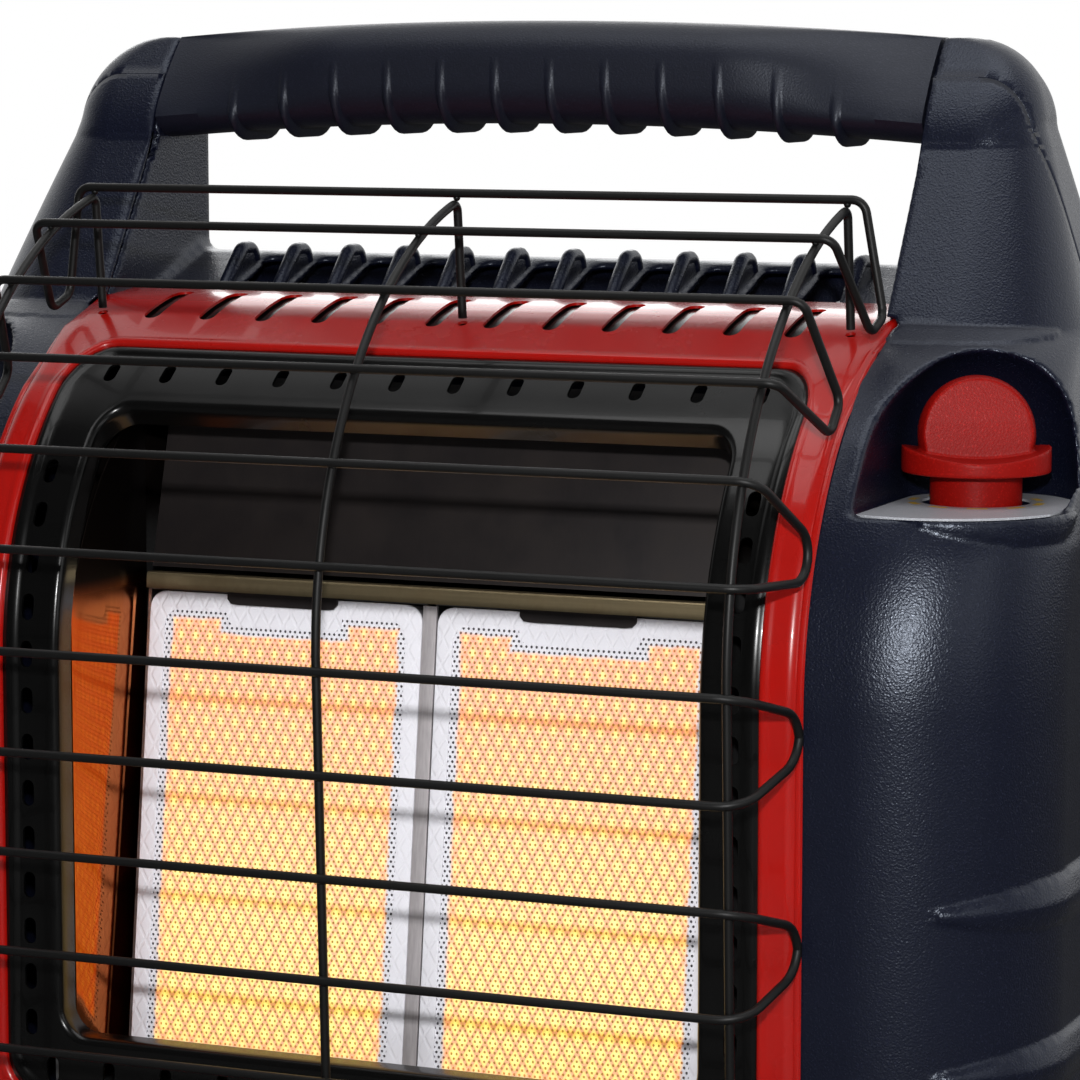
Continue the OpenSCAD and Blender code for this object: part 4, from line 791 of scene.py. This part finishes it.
def ringSheet(name, rings, steps, thick):
    # a sheet through the rings; each step is (which ring it leaves, share of the way to the next,
    # mm out from the one, mm in from the other, lift)
    n = len(rings[0])
    points, faces = [], []
    for ring, share, offIn, offOut, lift in steps:
        for (x0, s0), (x1, s1) in zip(rings[ring], rings[ring + 1]):
            dx, ds = x1 - x0, s1 - s0
            t = share + (offIn - offOut) / math.hypot(dx, ds)
            points.append(onRoll(x0 + dx * t, s0 + ds * t, lift))
    for j in range(len(steps) - 1):
        for i in range(n):
            k = (i + 1) % n
            faces.append((j * n + i, j * n + k, (j + 1) * n + k, (j + 1) * n + i))
    piece = addPiece(name, meshFrom(name, points, faces))
    return modify(piece, "SOLIDIFY", thickness=thick * mm, offset=-1)


def outerRing(ring, window, half, low, high):
    # the sheet's own edge, point for point with a window's ring
    out = []
    windowHalf, z0, z1, r = window
    x0, low0, high0 = windowHalf - r + 0.01, upRoll(z0 + r), upRoll(z1 - r)
    for x, along in ring:
        if abs(x) <= x0 and along < low0:
            out.append((x, low))
        elif abs(x) <= x0 and along > high0:
            out.append((x, high))
        elif low0 <= along <= high0:
            out.append((math.copysign(half, x), along))
        else:
            # round a corner: half of its points run along one edge and half along the other
            edge, start = (low, low0) if along < low0 else (high, high0)
            share = math.atan2(abs(along - start), abs(x) - x0) / (math.pi / 2)
            if share > 0.5:
                out.append((math.copysign(x0 + (half - x0) * (1 - share) * 2, x), edge))
            else:
                out.append((math.copysign(half, x), start + (edge - start) * share * 2))
    return out


def cutWith(piece, cutters):
    # takes closed shapes out of a piece
    mesh = joined("cutters", cutters)
    tool = bpy.data.objects.new("cutters", mesh)
    bpy.context.collection.objects.link(tool)
    modify(piece, "BOOLEAN", operation="DIFFERENCE", solver="EXACT", use_self=True, object=tool)
    bpy.data.objects.remove(tool)
    bpy.data.meshes.remove(mesh)
    return piece


def ovalPrism(centre, across, up, width, length, depth, sides=10):
    # closed prism over a slot with round ends, this deep each way along its axis
    across, up = Vector(across).normalized(), Vector(up).normalized()
    axis = across.cross(up)
    r, half = width / 2, (length - width) / 2
    outline = [(r * math.cos(math.radians(t)), half + r * math.sin(math.radians(t)))
               for t in [180 * i / sides for i in range(sides + 1)]]
    outline += [(-x, -y) for x, y in outline]
    n = len(outline)
    points = [Vector(centre) + across * x + up * y + axis * d for d in (-depth, depth) for x, y in outline]
    faces = [tuple(range(n - 1, -1, -1)), tuple(range(n, 2 * n))]
    faces += [(i, (i + 1) % n, n + (i + 1) % n, n + i) for i in range(n)]
    return meshFrom("prism", points, faces)


def wireHoles(y, z, up, depth):
    # round holes for the ends of the guard's uprights
    wide = guard["wire"] + 0.6
    return [ovalPrism((x, y, z), (1, 0, 0), up, wide, wide + 0.01, depth) for x in uprights]


# burner tiles

onBurner = Matrix.Translation(Vector((0, -tile["front"], tile["low"])) * mm) @ Matrix.Rotation(
    math.radians(-tile["lean"]), 4, "X")
sideways = Matrix(((0, 1, 0, 0), (1, 0, 0, 0), (0, 0, 1, 0), (0, 0, 0, 1)))  # for an outline of (depth, height)


def roundedOutline(x0, z0, x1, z1, radii, steps=6):
    # rounded rectangle from its lower left corner round; radii of the lower and the upper corners
    out = []
    for cx, cz, r, start in ((x0, z0, radii[0], 180), (x1, z0, radii[0], 270), (x1, z1, radii[1], 0),
                             (x0, z1, radii[1], 90)):
        mx, mz = cx + (r if cx == x0 else -r), cz + (r if cz == z0 else -r)
        out += [(mx + r * math.cos(math.radians(start + 90 * i / steps)),
                 mz + r * math.sin(math.radians(start + 90 * i / steps))) for i in range(steps + 1)]
    return out


def slabMesh(name, outline, y0, y1, matrix):
    # closed plate over an outline drawn as (width, height)
    n = len(outline)
    points = [(x, y, z) for y in (y0, y1) for x, z in outline]
    faces = [tuple(range(n)), tuple(range(2 * n - 1, n - 1, -1))]
    faces += [((i + 1) % n, i, n + i, n + (i + 1) % n) for i in range(n)]
    mesh = meshFrom(name, points, faces)
    mesh.transform(matrix)
    return rework(mesh, faceOut)


def makePerforatedTree():
    # honeycomb of six-sided cells, each with a hole pressed into it
    tree, get = startTree("perforated", {
        "Columns": 40, "Rows": 40, "Pitch": 0.00187, "Hole radius": 0.0005, "Depth": 0.0016})
    row = calc(tree, "MULTIPLY", get["Pitch"], math.sqrt(3) / 2)
    lastRow = calc(tree, "SUBTRACT", get["Rows"], 1)
    wide = calc(tree, "MULTIPLY", calc(tree, "SUBTRACT", get["Columns"], 1), get["Pitch"])
    grid = place(tree, "GeometryNodeMeshGrid", Size_X=wide, Size_Y=calc(tree, "MULTIPLY", lastRow, row),
                 Vertices_X=get["Columns"], Vertices_Y=get["Rows"])
    # every other row moves half a cell along
    where = place(tree, "GeometryNodeInputPosition")
    split = place(tree, "ShaderNodeSeparateXYZ", Vector=where.outputs[0])
    number = calc(tree, "ADD", calc(tree, "DIVIDE", split.outputs["Y"], row), calc(tree, "MULTIPLY", lastRow, 0.5))
    odd = calc(tree, "MODULO", calc(tree, "ROUND", number), 2)
    step = calc(tree, "MULTIPLY", calc(tree, "MULTIPLY_ADD", odd, 0.5, -0.25), get["Pitch"])
    shift = place(tree, "ShaderNodeCombineXYZ", X=step)
    rows = place(tree, "GeometryNodeSetPosition", Geometry=grid.outputs["Mesh"], Offset=shift.outputs[0])
    reach = calc(tree, "MULTIPLY", get["Pitch"], 1 / math.sqrt(3))
    cell = place(tree, "GeometryNodeMeshCircle", {"fill_type": "NGON"}, Vertices=6, Radius=reach)
    flat = place(tree, "GeometryNodeExtrudeMesh", Mesh=cell.outputs["Mesh"], Offset_Scale=0.0).outputs
    shrink = place(tree, "GeometryNodeScaleElements", Geometry=flat["Mesh"], Selection=flat["Top"],
                   Scale=calc(tree, "DIVIDE", get["Hole radius"], reach))
    press = place(tree, "GeometryNodeExtrudeMesh", Mesh=shrink.outputs["Geometry"], Selection=flat["Top"],
                  Offset_Scale=calc(tree, "MULTIPLY", get["Depth"], -1))
    sow = place(tree, "GeometryNodeInstanceOnPoints", Points=rows.outputs["Geometry"],
                Instance=press.outputs["Mesh"], Rotation=(0, 0, math.radians(30)))
    return endTree(tree, sow.outputs["Instances"], get, smooth=False)


perforatedTree = makePerforatedTree()


def makeTile(name, node, side):
    half, margin, tall = tile["wide"] / 2, tile["margin"], tile["tall"]
    matrix = onBurner @ Matrix.Translation((side * tile["middle"] * mm, 0, 0))
    body = roundedOutline(-half, 0, half, tall, (tile["foot"], tile["corner"]))
    slab = addPiece(name + "Slab", slabMesh(name + "Slab", body, 0, tile["thick"], matrix), finish["ceramic"])
    modify(slab, "BEVEL", width=0.5 * mm, segments=2)
    notchHalf, notchDeep = tile["notch"]
    top = tall - margin
    field = roundedOutline(margin - half, margin, half - margin, top, (tile["corner"],) * 2)
    notch = [(notchHalf, top), (notchHalf - 0.4, top - notchDeep + 2), (notchHalf - 2.4, top - notchDeep)]
    last = next(i for i, (x, z) in enumerate(field) if z > top - 0.01)  # where the top edge begins
    field = field[:last + 1] + notch + [(-x, z) for x, z in reversed(notch)] + field[last + 1:]
    cutWith(slab, [slabMesh("field", field, -1, tile["recess"] + tile["pit"] + 0.2, matrix)])
    standFor(softenShade(slab), node)

    cells = addPiece(name + "Cells", meshFrom(name + "Cells", [(0, 0, 0)], []))
    runTree(cells, perforatedTree, Columns=tileCount[0], Rows=tileCount[1], Pitch=tile["pitch"] * mm,
            Hole_radius=tile["hole"] * mm, Depth=tile["pit"] * mm, Material=finish["ceramic"])
    lie = Matrix.Translation(Vector((0, tile["recess"], tall / 2)) * mm) @ Matrix.Rotation(math.radians(90), 4, "X")
    cells.data.transform(matrix @ Matrix.Scale(side, 4, (1, 0, 0)) @ lie)
    if side < 0:
        cells.data.flip_normals()
    rideWith(cells, node)


makeTile("tileLeft", "tile_left", -1)
makeTile("tileRight", "tile_right", 1)
print("tiles made:", tileCount[0] * tileCount[1], "cells each")


bezel = {  # mm
    "half": 151, "low": 44, "back": 58, "face": 1.8, "thick": 0.9,
    "window": (138, 62, 316.5, 14),  # half its width, lower edge, upper edge, corner radius
    "slot": (6.0, 31), "slotMiddle": (21.5, 330),  # width and length, and where they lie in Y and Z
    "points": (48, 64),  # along the window's width and height
    "rim": [(0.0, -0.9), (0.12, -0.2), (0.45, 0.25), (0.9, 0.4), (1.6, 0.3), (2.4, 0.1), (3.2, 0)],
    "flare": [(4.6, -0.02), (3.9, -0.16), (3.2, -0.45), (2.5, -0.9), (1.9, -1.3), (1.5, -1.42), (1.1, -1.3),
              (0.6, -1.2), (0.2, -1.25), (0, -1.6)],  # (mm in from the edge, lift)
}


def makeBezel():
    window = windowRing(bezel["window"], bezel["points"])
    high = roll["radius"] * math.pi / 2 + bezel["back"] - roll["depth"]
    edge = outerRing(window, bezel["window"], bezel["half"], upRoll(bezel["low"]), high)
    face = bezel["face"]
    steps = [(0, 0, off, 0, face + lift) for off, lift in bezel["rim"]]
    steps += [(0, 0.24 + 0.4 * i / 9, 0, 0, face) for i in range(1, 9)]
    steps += [(0, 1, 0, off, face + lift) for off, lift in bezel["flare"]]
    piece = ringSheet("bezelSheet", [window, edge], steps, bezel["thick"])
    prisms = [ovalPrism((x, *bezel["slotMiddle"]), (1, 0, 0), (0, 1, 0), *bezel["slot"], 25) for x in rowPlaces]
    prisms += wireHoles(*guard["foot"], (0, 0, 1), 8) + wireHoles(*guard["head"], (0, 1, 0), 12)
    cutWith(piece, prisms)
    paint(piece.data, finish["red_paint"])
    standFor(softenShade(piece, 40), "front_bezel")


makeBezel()
print("bezel made")


sheet = {  # mm
    "half": 146, "low": 47, "mouth": (117, 83, 298.5, 11), "points": (44, 64), "thick": 1.0,
    "lip": 8.5, "lipRadius": 2.2, "ends": 88.5,  # degrees up the roll
    "oval": (4.5, 9), "rim": 0.55,
    "topRow": 308, "lowRow": 72,  # heights of the holes over and under the mouth
    "sideRow": 128, "sideHoles": 13, "sideFrom": -124, "sidePitch": 16,  # beside it, up the sheet
    "bead": [(7.2, 0), (6.4, 0.18), (5.6, 0.6), (4.8, 0.95), (4.0, 1.05), (3.2, 0.95), (2.4, 0.6), (1.6, 0.18),
             (0.8, 0)],  # (mm in from the bezel's window, lift)
}


def holePlaces():
    # (x, along) of the frame's oval holes
    out = [(x, upRoll(sheet[row])) for row in ("topRow", "lowRow") for x in rowPlaces]
    sides = [sheet["sideFrom"] + k * sheet["sidePitch"] for k in range(sheet["sideHoles"])]
    return out + [(s * sheet["sideRow"], along) for along in sides for s in (-1, 1)]


def makeEyeletTree():
    # sets the pressed rim of an oval hole on every face
    tree, get = startTree("eyelets", {"Hole width": 0.0045, "Hole length": 0.009, "Rim radius": 0.0007})
    half = calc(tree, "MULTIPLY", calc(tree, "SUBTRACT", get["Hole length"], get["Hole width"]), 0.5)
    grow = calc(tree, "MULTIPLY_ADD", get["Hole width"], 0.5, get["Rim radius"])
    ring = place(tree, "GeometryNodeCurvePrimitiveCircle", Resolution=24, Radius=grow)
    # pull the two halves of the circle apart along Y
    where = place(tree, "GeometryNodeInputPosition")
    split = place(tree, "ShaderNodeSeparateXYZ", Vector=where.outputs[0])
    shift = place(tree, "ShaderNodeCombineXYZ", Y=calc(tree, "MULTIPLY", calc(tree, "SIGN", split.outputs["Y"]), half))
    apart = place(tree, "GeometryNodeSetPosition", Geometry=ring.outputs["Curve"], Offset=shift.outputs[0])
    bead = place(tree, "GeometryNodeCurvePrimitiveCircle", Resolution=10, Radius=get["Rim radius"])
    rim = place(tree, "GeometryNodeCurveToMesh", Curve=apart.outputs["Geometry"], Profile_Curve=bead.outputs["Curve"])
    keep = place(tree, "GeometryNodeCaptureAttribute", {"domain": "FACE"})
    keep.capture_items.new("VECTOR", "Facing")
    normal = place(tree, "GeometryNodeInputNormal")
    feed(tree, keep, Geometry=get["Geometry"], Facing=normal.outputs[0])
    dots = place(tree, "GeometryNodeMeshToPoints", {"mode": "FACES"}, Mesh=keep.outputs["Geometry"])
    face = place(tree, "FunctionNodeAlignRotationToVector", Vector=keep.outputs["Facing"])
    sow = place(tree, "GeometryNodeInstanceOnPoints", Points=dots.outputs["Points"], Instance=rim.outputs["Mesh"],
                Rotation=face.outputs["Rotation"])
    return endTree(tree, sow.outputs["Instances"], get)


def makeFrame():
    mouth, window = (windowRing(hole, sheet["points"]) for hole in (sheet["mouth"], bezel["window"]))
    high = roll["radius"] * math.radians(sheet["ends"])
    edge = outerRing(window, bezel["window"], sheet["half"], upRoll(sheet["low"]), high)
    bend, lip = sheet["lipRadius"], sheet["lip"]
    steps = [(0, 0, 0, 0, -lip * share) for share in (1, 0.7, 0.45)]
    steps += [(0, 0, bend * (1 - math.cos(a)), 0, bend * (math.sin(a) - 1) + 0.1 * math.sin(2 * a))
              for a in [math.radians(15 * i) for i in range(7)]]
    steps += [(0, 0, 3.2, 0, 0)] + [(0, 0.22 + 0.1 * i, 0, 0, 0) for i in range(5)]
    steps += [(0, 1, 0, off, lift) for off, lift in sheet["bead"]]
    steps += [(1, i / 6, 0, 0, 0) for i in range(7)]
    piece = ringSheet("frameSheet", [mouth, window, edge], steps, sheet["thick"])
    prisms, points = [], []
    width, length = sheet["oval"]
    for x, along in holePlaces():
        a = max(0, along) / roll["radius"]
        up = Vector((0, math.sin(a), math.cos(a)))
        prisms.append(ovalPrism(onRoll(x, along), (1, 0, 0), up, width, length, 4))
        # a small face under each pressed rim says where it sits and which way it looks
        spot = onRoll(x, along, 0.12)
        points += [spot + Vector((u, 0, 0)) + up * v for u, v in ((-0.1, -0.1), (0.1, -0.1), (0.1, 0.1), (-0.1, 0.1))]
    cutWith(piece, prisms + wireHoles(*guard["foot"], (0, 0, 1), 8))
    paint(piece.data, finish["black_enamel"])
    standFor(softenShade(piece, 40), "reflector_frame")
    faces = [tuple(range(i, i + 4)) for i in range(0, len(points), 4)]
    rims = addPiece("frameRims", meshFrom("frameRims", points, faces))
    runTree(rims, makeEyeletTree(), Hole_width=width * mm, Hole_length=length * mm, Rim_radius=sheet["rim"] * mm,
            Material=finish["black_enamel"])
    rideWith(rims, "reflector_frame")


makeFrame()
print("frame made")


# moulded casing

casing = {  # mm
    "half": 222, "shoulder": 185, "top": 424.4, "round": 30, "narrows": 262, "window": 147, "back": 107,
    "corner": 56, "cornerMid": 20, "cornerTop": 8, "rearCorner": 14, "gripFoot": 388, "gripFront": 60, "crown": 24,
    "leaves": 328,  # height at which the grip's posts lean back from the roll
    "waist": 1.25, "backDome": 9, "blend": 8,  # how the pods draw in, the back's round top, and the posts' foot
}
sideSkin = {"voxel": 1.25, "rounds": 6, "seam": (72.0, -1), "keep": 0.6}
skins = {  # node: voxel and rounds of smoothing; seam is (where the halves meet in Y, which side this one is on)
    "side_shell_left": sideSkin,
    "side_shell_right": sideSkin,
    "rear_shell": {"voxel": 2.0, "rounds": 2, "seam": (72.2, 1)},
    "control_knob": {"voxel": 0.5, "rounds": 5},
}
laying = {  # how a skin comes to lie on the smooth form
    "lip": 1.27, "lipOuter": 0.8,  # voxels that the seam's row reaches back, and in from the outside
    "lipNear": 3.2, "lipLow": 100,  # mm: how near the form the row lies, and above which height
    "facing": 0.86, "facingOver": 0.1,  # 1 where a face looks straight out of the form
    "near": 1.3, "nearOver": 0.4,  # mm from the form
    "step": 0.05,  # mm, for the form's slope
}


def casingGap(points):
    # how far points (mm) lie outside the casing's smooth outer form
    x, y, z = numpy.abs(points[:, 0]), points[:, 1], points[:, 2]
    c, rollZ, rollY, rollR = casing, roll["height"], roll["depth"], roll["radius"]
    cap = c["top"] - c["round"]
    over = numpy.clip((z - cap) / c["round"], 0, 1)
    share = numpy.clip((z - c["narrows"]) / (cap - c["narrows"]), 0, 1)
    flank = c["half"] + (c["shoulder"] - c["half"]) * share ** c["waist"]
    dome = c["shoulder"] - c["round"] + c["round"] * numpy.sqrt(1 - over ** 2)
    half = numpy.where(z <= cap, flank, dome)
    lift = numpy.clip(z - rollZ, 0, rollR)
    front = numpy.where(z >= rollZ + rollR, 400, rollY - numpy.sqrt(rollR ** 2 - lift ** 2))
    leanY = rollY - math.sqrt(rollR ** 2 - (c["leaves"] - rollZ) ** 2)
    slope = (c["gripFront"] - leanY) / (c["gripFoot"] - c["leaves"])
    crown = numpy.clip((z - c["gripFoot"]) / (c["top"] - c["gripFoot"]), 0, 1)
    lean = numpy.where(z <= c["gripFoot"], leanY + slope * (z - c["leaves"]),
                       c["gripFront"] + c["crown"] * crown ** 1.5)
    front = numpy.where(z < c["leaves"] - c["blend"], front, numpy.minimum(front, lean))
    back = c["back"] - c["backDome"] * over ** 2
    grow = numpy.clip((z - rollZ) / (cap - rollZ), 0, 1)
    corner = numpy.where(z <= cap, c["corner"] + (c["cornerMid"] - c["corner"]) * grow ** 2,
                         c["cornerMid"] + (c["cornerTop"] - c["cornerMid"]) * over ** 2)
    most = numpy.minimum(0.9 * (half - c["window"]), 0.45 * (back - front))
    fore, rear = numpy.minimum(corner, most), numpy.minimum(c["rearCorner"], most)

    def rounded(dx, dy, r):
        apart = numpy.hypot(numpy.maximum(dx, 0), numpy.maximum(dy, 0))
        return numpy.where((dx > 0) & (dy > 0), apart, numpy.maximum(dx, dy)) - r

    ahead = rounded(x - half + fore, front + fore - y, fore)
    behind = rounded(x - half + rear, y - back + rear, rear)
    return numpy.where(y < (front + back) / 2, ahead, behind)


def layOnForm(mesh, seam, voxel, lips=None):
    # lays the outside of the skin on the smooth form, with its edge along the seam kept flat
    # lips: the points along the seam, and those of them on the outside, kept between calls
    n = len(mesh.vertices)
    spots, normals = numpy.empty(n * 3), numpy.empty(n * 3, dtype=numpy.float32)
    mesh.vertices.foreach_get("co", spots)
    mesh.vertices.foreach_get("normal", normals)
    spots, normals = spots.reshape(n, 3) / mm, normals.reshape(n, 3)
    meet, side = seam
    if lips is None:
        gap = casingGap(spots)
        lip = (spots[:, 1] - meet) * side < laying["lip"] * voxel
        lip = lip & (numpy.abs(gap) < laying["lipNear"]) & (spots[:, 2] > laying["lipLow"])
        lips = lip, lip & (gap > -laying["lipOuter"] * voxel)
    lip, outer = lips
    spots[:, 1] = numpy.where(lip, meet, spots[:, 1])
    h = laying["step"]
    for _ in range(3):
        gap = casingGap(spots)
        slope = numpy.stack([(casingGap(spots + numpy.eye(3)[k] * h) - gap) / h for k in range(3)], axis=1)
        slope[:, 1] = numpy.where(lip, 0, slope[:, 1])
        steep = numpy.maximum(numpy.linalg.norm(slope, axis=1), 0.2)
        facing = (slope * normals).sum(axis=1) / steep
        weight = numpy.clip((facing - laying["facing"]) / laying["facingOver"], 0, 1)
        weight = weight * numpy.clip((laying["near"] - numpy.abs(gap)) / laying["nearOver"], 0, 1)
        weight = numpy.where(lip, outer, weight)
        spots = spots - slope * (gap * weight / steep ** 2)[:, None]
    mesh.vertices.foreach_set("co", (spots * mm).ravel())
    return lips


def softCopy(name, voxel, rounds, seam=None, without=None, keep=1):
    # a node remade as one even skin with softened edges; with a seam its outside lies on the smooth form
    # keep: the share of its faces that stays at the end
    mesh = nodes[name].data.copy()
    mesh.name = name + "Soft"
    piece = addPiece(mesh.name, mesh)
    if without:
        rework(mesh, mergeDoubles)
        cutWith(piece, [without])
    modify(piece, "REMESH", mode="VOXEL", voxel_size=voxel * mm)
    lips = layOnForm(piece.data, seam, voxel) if seam else None
    modify(piece, "SMOOTH", factor=0.5, iterations=rounds)
    if seam:
        layOnForm(piece.data, seam, voxel, lips)
    if keep < 1:
        modify(piece, "DECIMATE", ratio=keep)
    print(name, "has", sum(len(p.vertices) - 2 for p in piece.data.polygons), "triangles")
    paint(piece.data, finish[slotOf[name]])
    return standFor(softenShade(piece, 180), name)


vent = {  # mm, drawn as (depth, height)
    "radius": 2.5, "half": 125, "path": [(60.5, 330), (78.5, 347), (87, 347), (90, 339)],
    "web": [(61.5, 331), (78.8, 346.4), (86.4, 346.4), (89.2, 339.5)], "webHalf": 1.6,
    "room": [(59.5, 332.8), (59.5, 353), (109, 353), (109, 345.3), (96.5, 345.3)],  # where the node's own ribs are
}
ribRoom = slabMesh("ribRoom", vent["room"], -vent["half"], vent["half"], sideways)
for name, skin in skins.items():
    softCopy(name, **skin, without=ribRoom if name == "rear_shell" else None)
print("casing made")


def makeVent():
    paths = [roundPath([(x, *p) for p in vent["path"]], 4) for x in rowPlaces]
    rideWith(makeWires("ventRibs", lines=paths, radius=vent["radius"]), "rear_shell")
    # a thin wall closes the bend of each rib
    webs = [slabMesh("ventWeb", vent["web"], x - vent["webHalf"], x + vent["webHalf"], sideways) for x in rowPlaces]
    rideWith(addPiece("ventWebs", joined("ventWebs", webs), finish["casing"]), "rear_shell")


grip = {  # mm
    "half": 146.7, "depth": 46, "tall": 36.4, "corner": 15, "middle": 83.5, "ends": 424.4, "ribs": 12, "pitch": 21,
    "ribHigh": 3.4, "ribWide": (1.4, 1.8), "ribFace": 0.8,  # under the bar, at its face and below, on its face
    "core": (8, 3),  # half of the section's flat middle, which the ribs stand off from
    "blend": 75, "stations": 561,
}


def gripPoint(x, y, z, axis):
    # a point of the section at x, pushed out by the nearest rib
    g = grip
    near = min(abs(x - (k - (g["ribs"] - 1) / 2) * g["pitch"]) for k in range(g["ribs"]))
    wideCore, tallCore = g["core"]
    inner = Vector((max(-wideCore, min(wideCore, y)), max(-tallCore, min(tallCore, z))))
    out = (Vector((y, z)) - inner).normalized()
    down = max(0, -out.y)
    wide = g["ribWide"][0] + (g["ribWide"][1] - g["ribWide"][0]) * down
    bump = math.sqrt(max(0, 1 - (near / wide) ** 2))
    fade = min(1, max(0, (1 - z) / 5))
    move = out * bump * fade * (g["ribFace"] + (g["ribHigh"] - g["ribFace"]) * down ** 1.5)
    # the ends draw back to lie flush with the shoulders
    depth, height = g["middle"] + y + move.x, axis + z + move.y
    crown = min(1, max(0, (height - casing["gripFoot"]) / (casing["top"] - casing["gripFoot"])))
    shoulder = casing["gripFront"] + casing["crown"] * crown ** 1.5
    share = min(1, max(0, (abs(x) - g["half"] + g["blend"]) / g["blend"]))
    return x, depth + max(0, shoulder - depth) * share * share * (3 - 2 * share), height


def makeGrip():
    # a rounded bar along a shallow arc, with finger ribs that swell towards its underside
    g = grip
    lift = cadBox[1][2] / mm - 0.05 - g["ends"]  # its middle stands just inside the solids' box
    bow = (casing["window"] ** 2 + lift ** 2) / (2 * lift)
    section = roundedOutline(-g["depth"] / 2, -g["tall"] / 2, g["depth"] / 2, g["tall"] / 2, (g["corner"],) * 2, 9)
    n, stations = len(section), g["stations"]
    points, faces = [], []
    for i in range(stations):
        x = -g["half"] + 2 * g["half"] * i / (stations - 1)
        axis = g["ends"] + lift - bow + math.sqrt(bow ** 2 - x ** 2) - g["tall"] / 2
        points += [gripPoint(x, y, z, axis) for y, z in section]
    for i in range(stations - 1):
        faces += [(i * n + k, (i + 1) * n + k, (i + 1) * n + (k + 1) % n, i * n + (k + 1) % n) for k in range(n)]
    faces += [tuple(range(n)), tuple(range(stations * n - 1, (stations - 1) * n - 1, -1))]
    mesh = rework(meshFrom("gripBar", points, faces), faceOut)
    standFor(softenShade(addPiece("gripBar", mesh, finish["handle"]), 50), "handle_grip")


makeGrip()
makeVent()
print("handle and vent made")


retainer = {  # mm on the burner's own axes
    "half": 107.2,
    "bar": [(-3.5, 166.8), (-3.6, 171.2), (-3.3, 172.1), (-2.6, 172.6), (6, 172.6), (6, 171.8), (-2.4, 171.8),
            (-2.65, 171.4), (-2.65, 166.8)],  # (depth, height)
    "tab": [(-21, 171), (-21, 164.4), (-19.5, 162.8), (-17, 162.5), (17, 162.5), (19.5, 162.8), (21, 164.4),
            (21, 171)],  # (width, height)
    "tabDepth": (-2.5, -1.6),
}


def makeRetainer():
    bar = slabMesh("retainerBar", retainer["bar"], -retainer["half"], retainer["half"], onBurner @ sideways)
    standFor(softenShade(addPiece("retainerBar", bar, finish["retainer_brass"]), 50), "tile_retainer")
    tabs = [slabMesh("clipTab", retainer["tab"], *retainer["tabDepth"],
                     onBurner @ Matrix.Translation((side * tile["middle"] * mm, 0, 0))) for side in (-1, 1)]
    standFor(addPiece("clipTabs", joined("clipTabs", tabs), finish["dark_steel"]), "tile_clips")


makeRetainer()

dressing = {  # node: edge softening in mm
    "base_tray": 0.8, "burner_box": 0.0, "side_reflectors": 0.1, "hood_panel": 0.1, "tile_divider": 0.1,
    "regulator_right": 0.5, "regulator_left": 0.5, "regulator_cap_right": 0.4, "regulator_cap_left": 0.4,
    "swivel_block_right": 0.4, "swivel_block_left": 0.4, "igniter_body": 0.4, "igniter_button": 0.5,
    "supply_line": 0.0, "crossover_line": 0.0, "swivel_pins": 0.2, "valve_body": 0.4, "rubber_feet": 0.4,
    "shell_screws": 0.0,
}
for name, bevel in dressing.items():
    dressNode(name, bevel)
print("nodes dressed:", len(dressing))
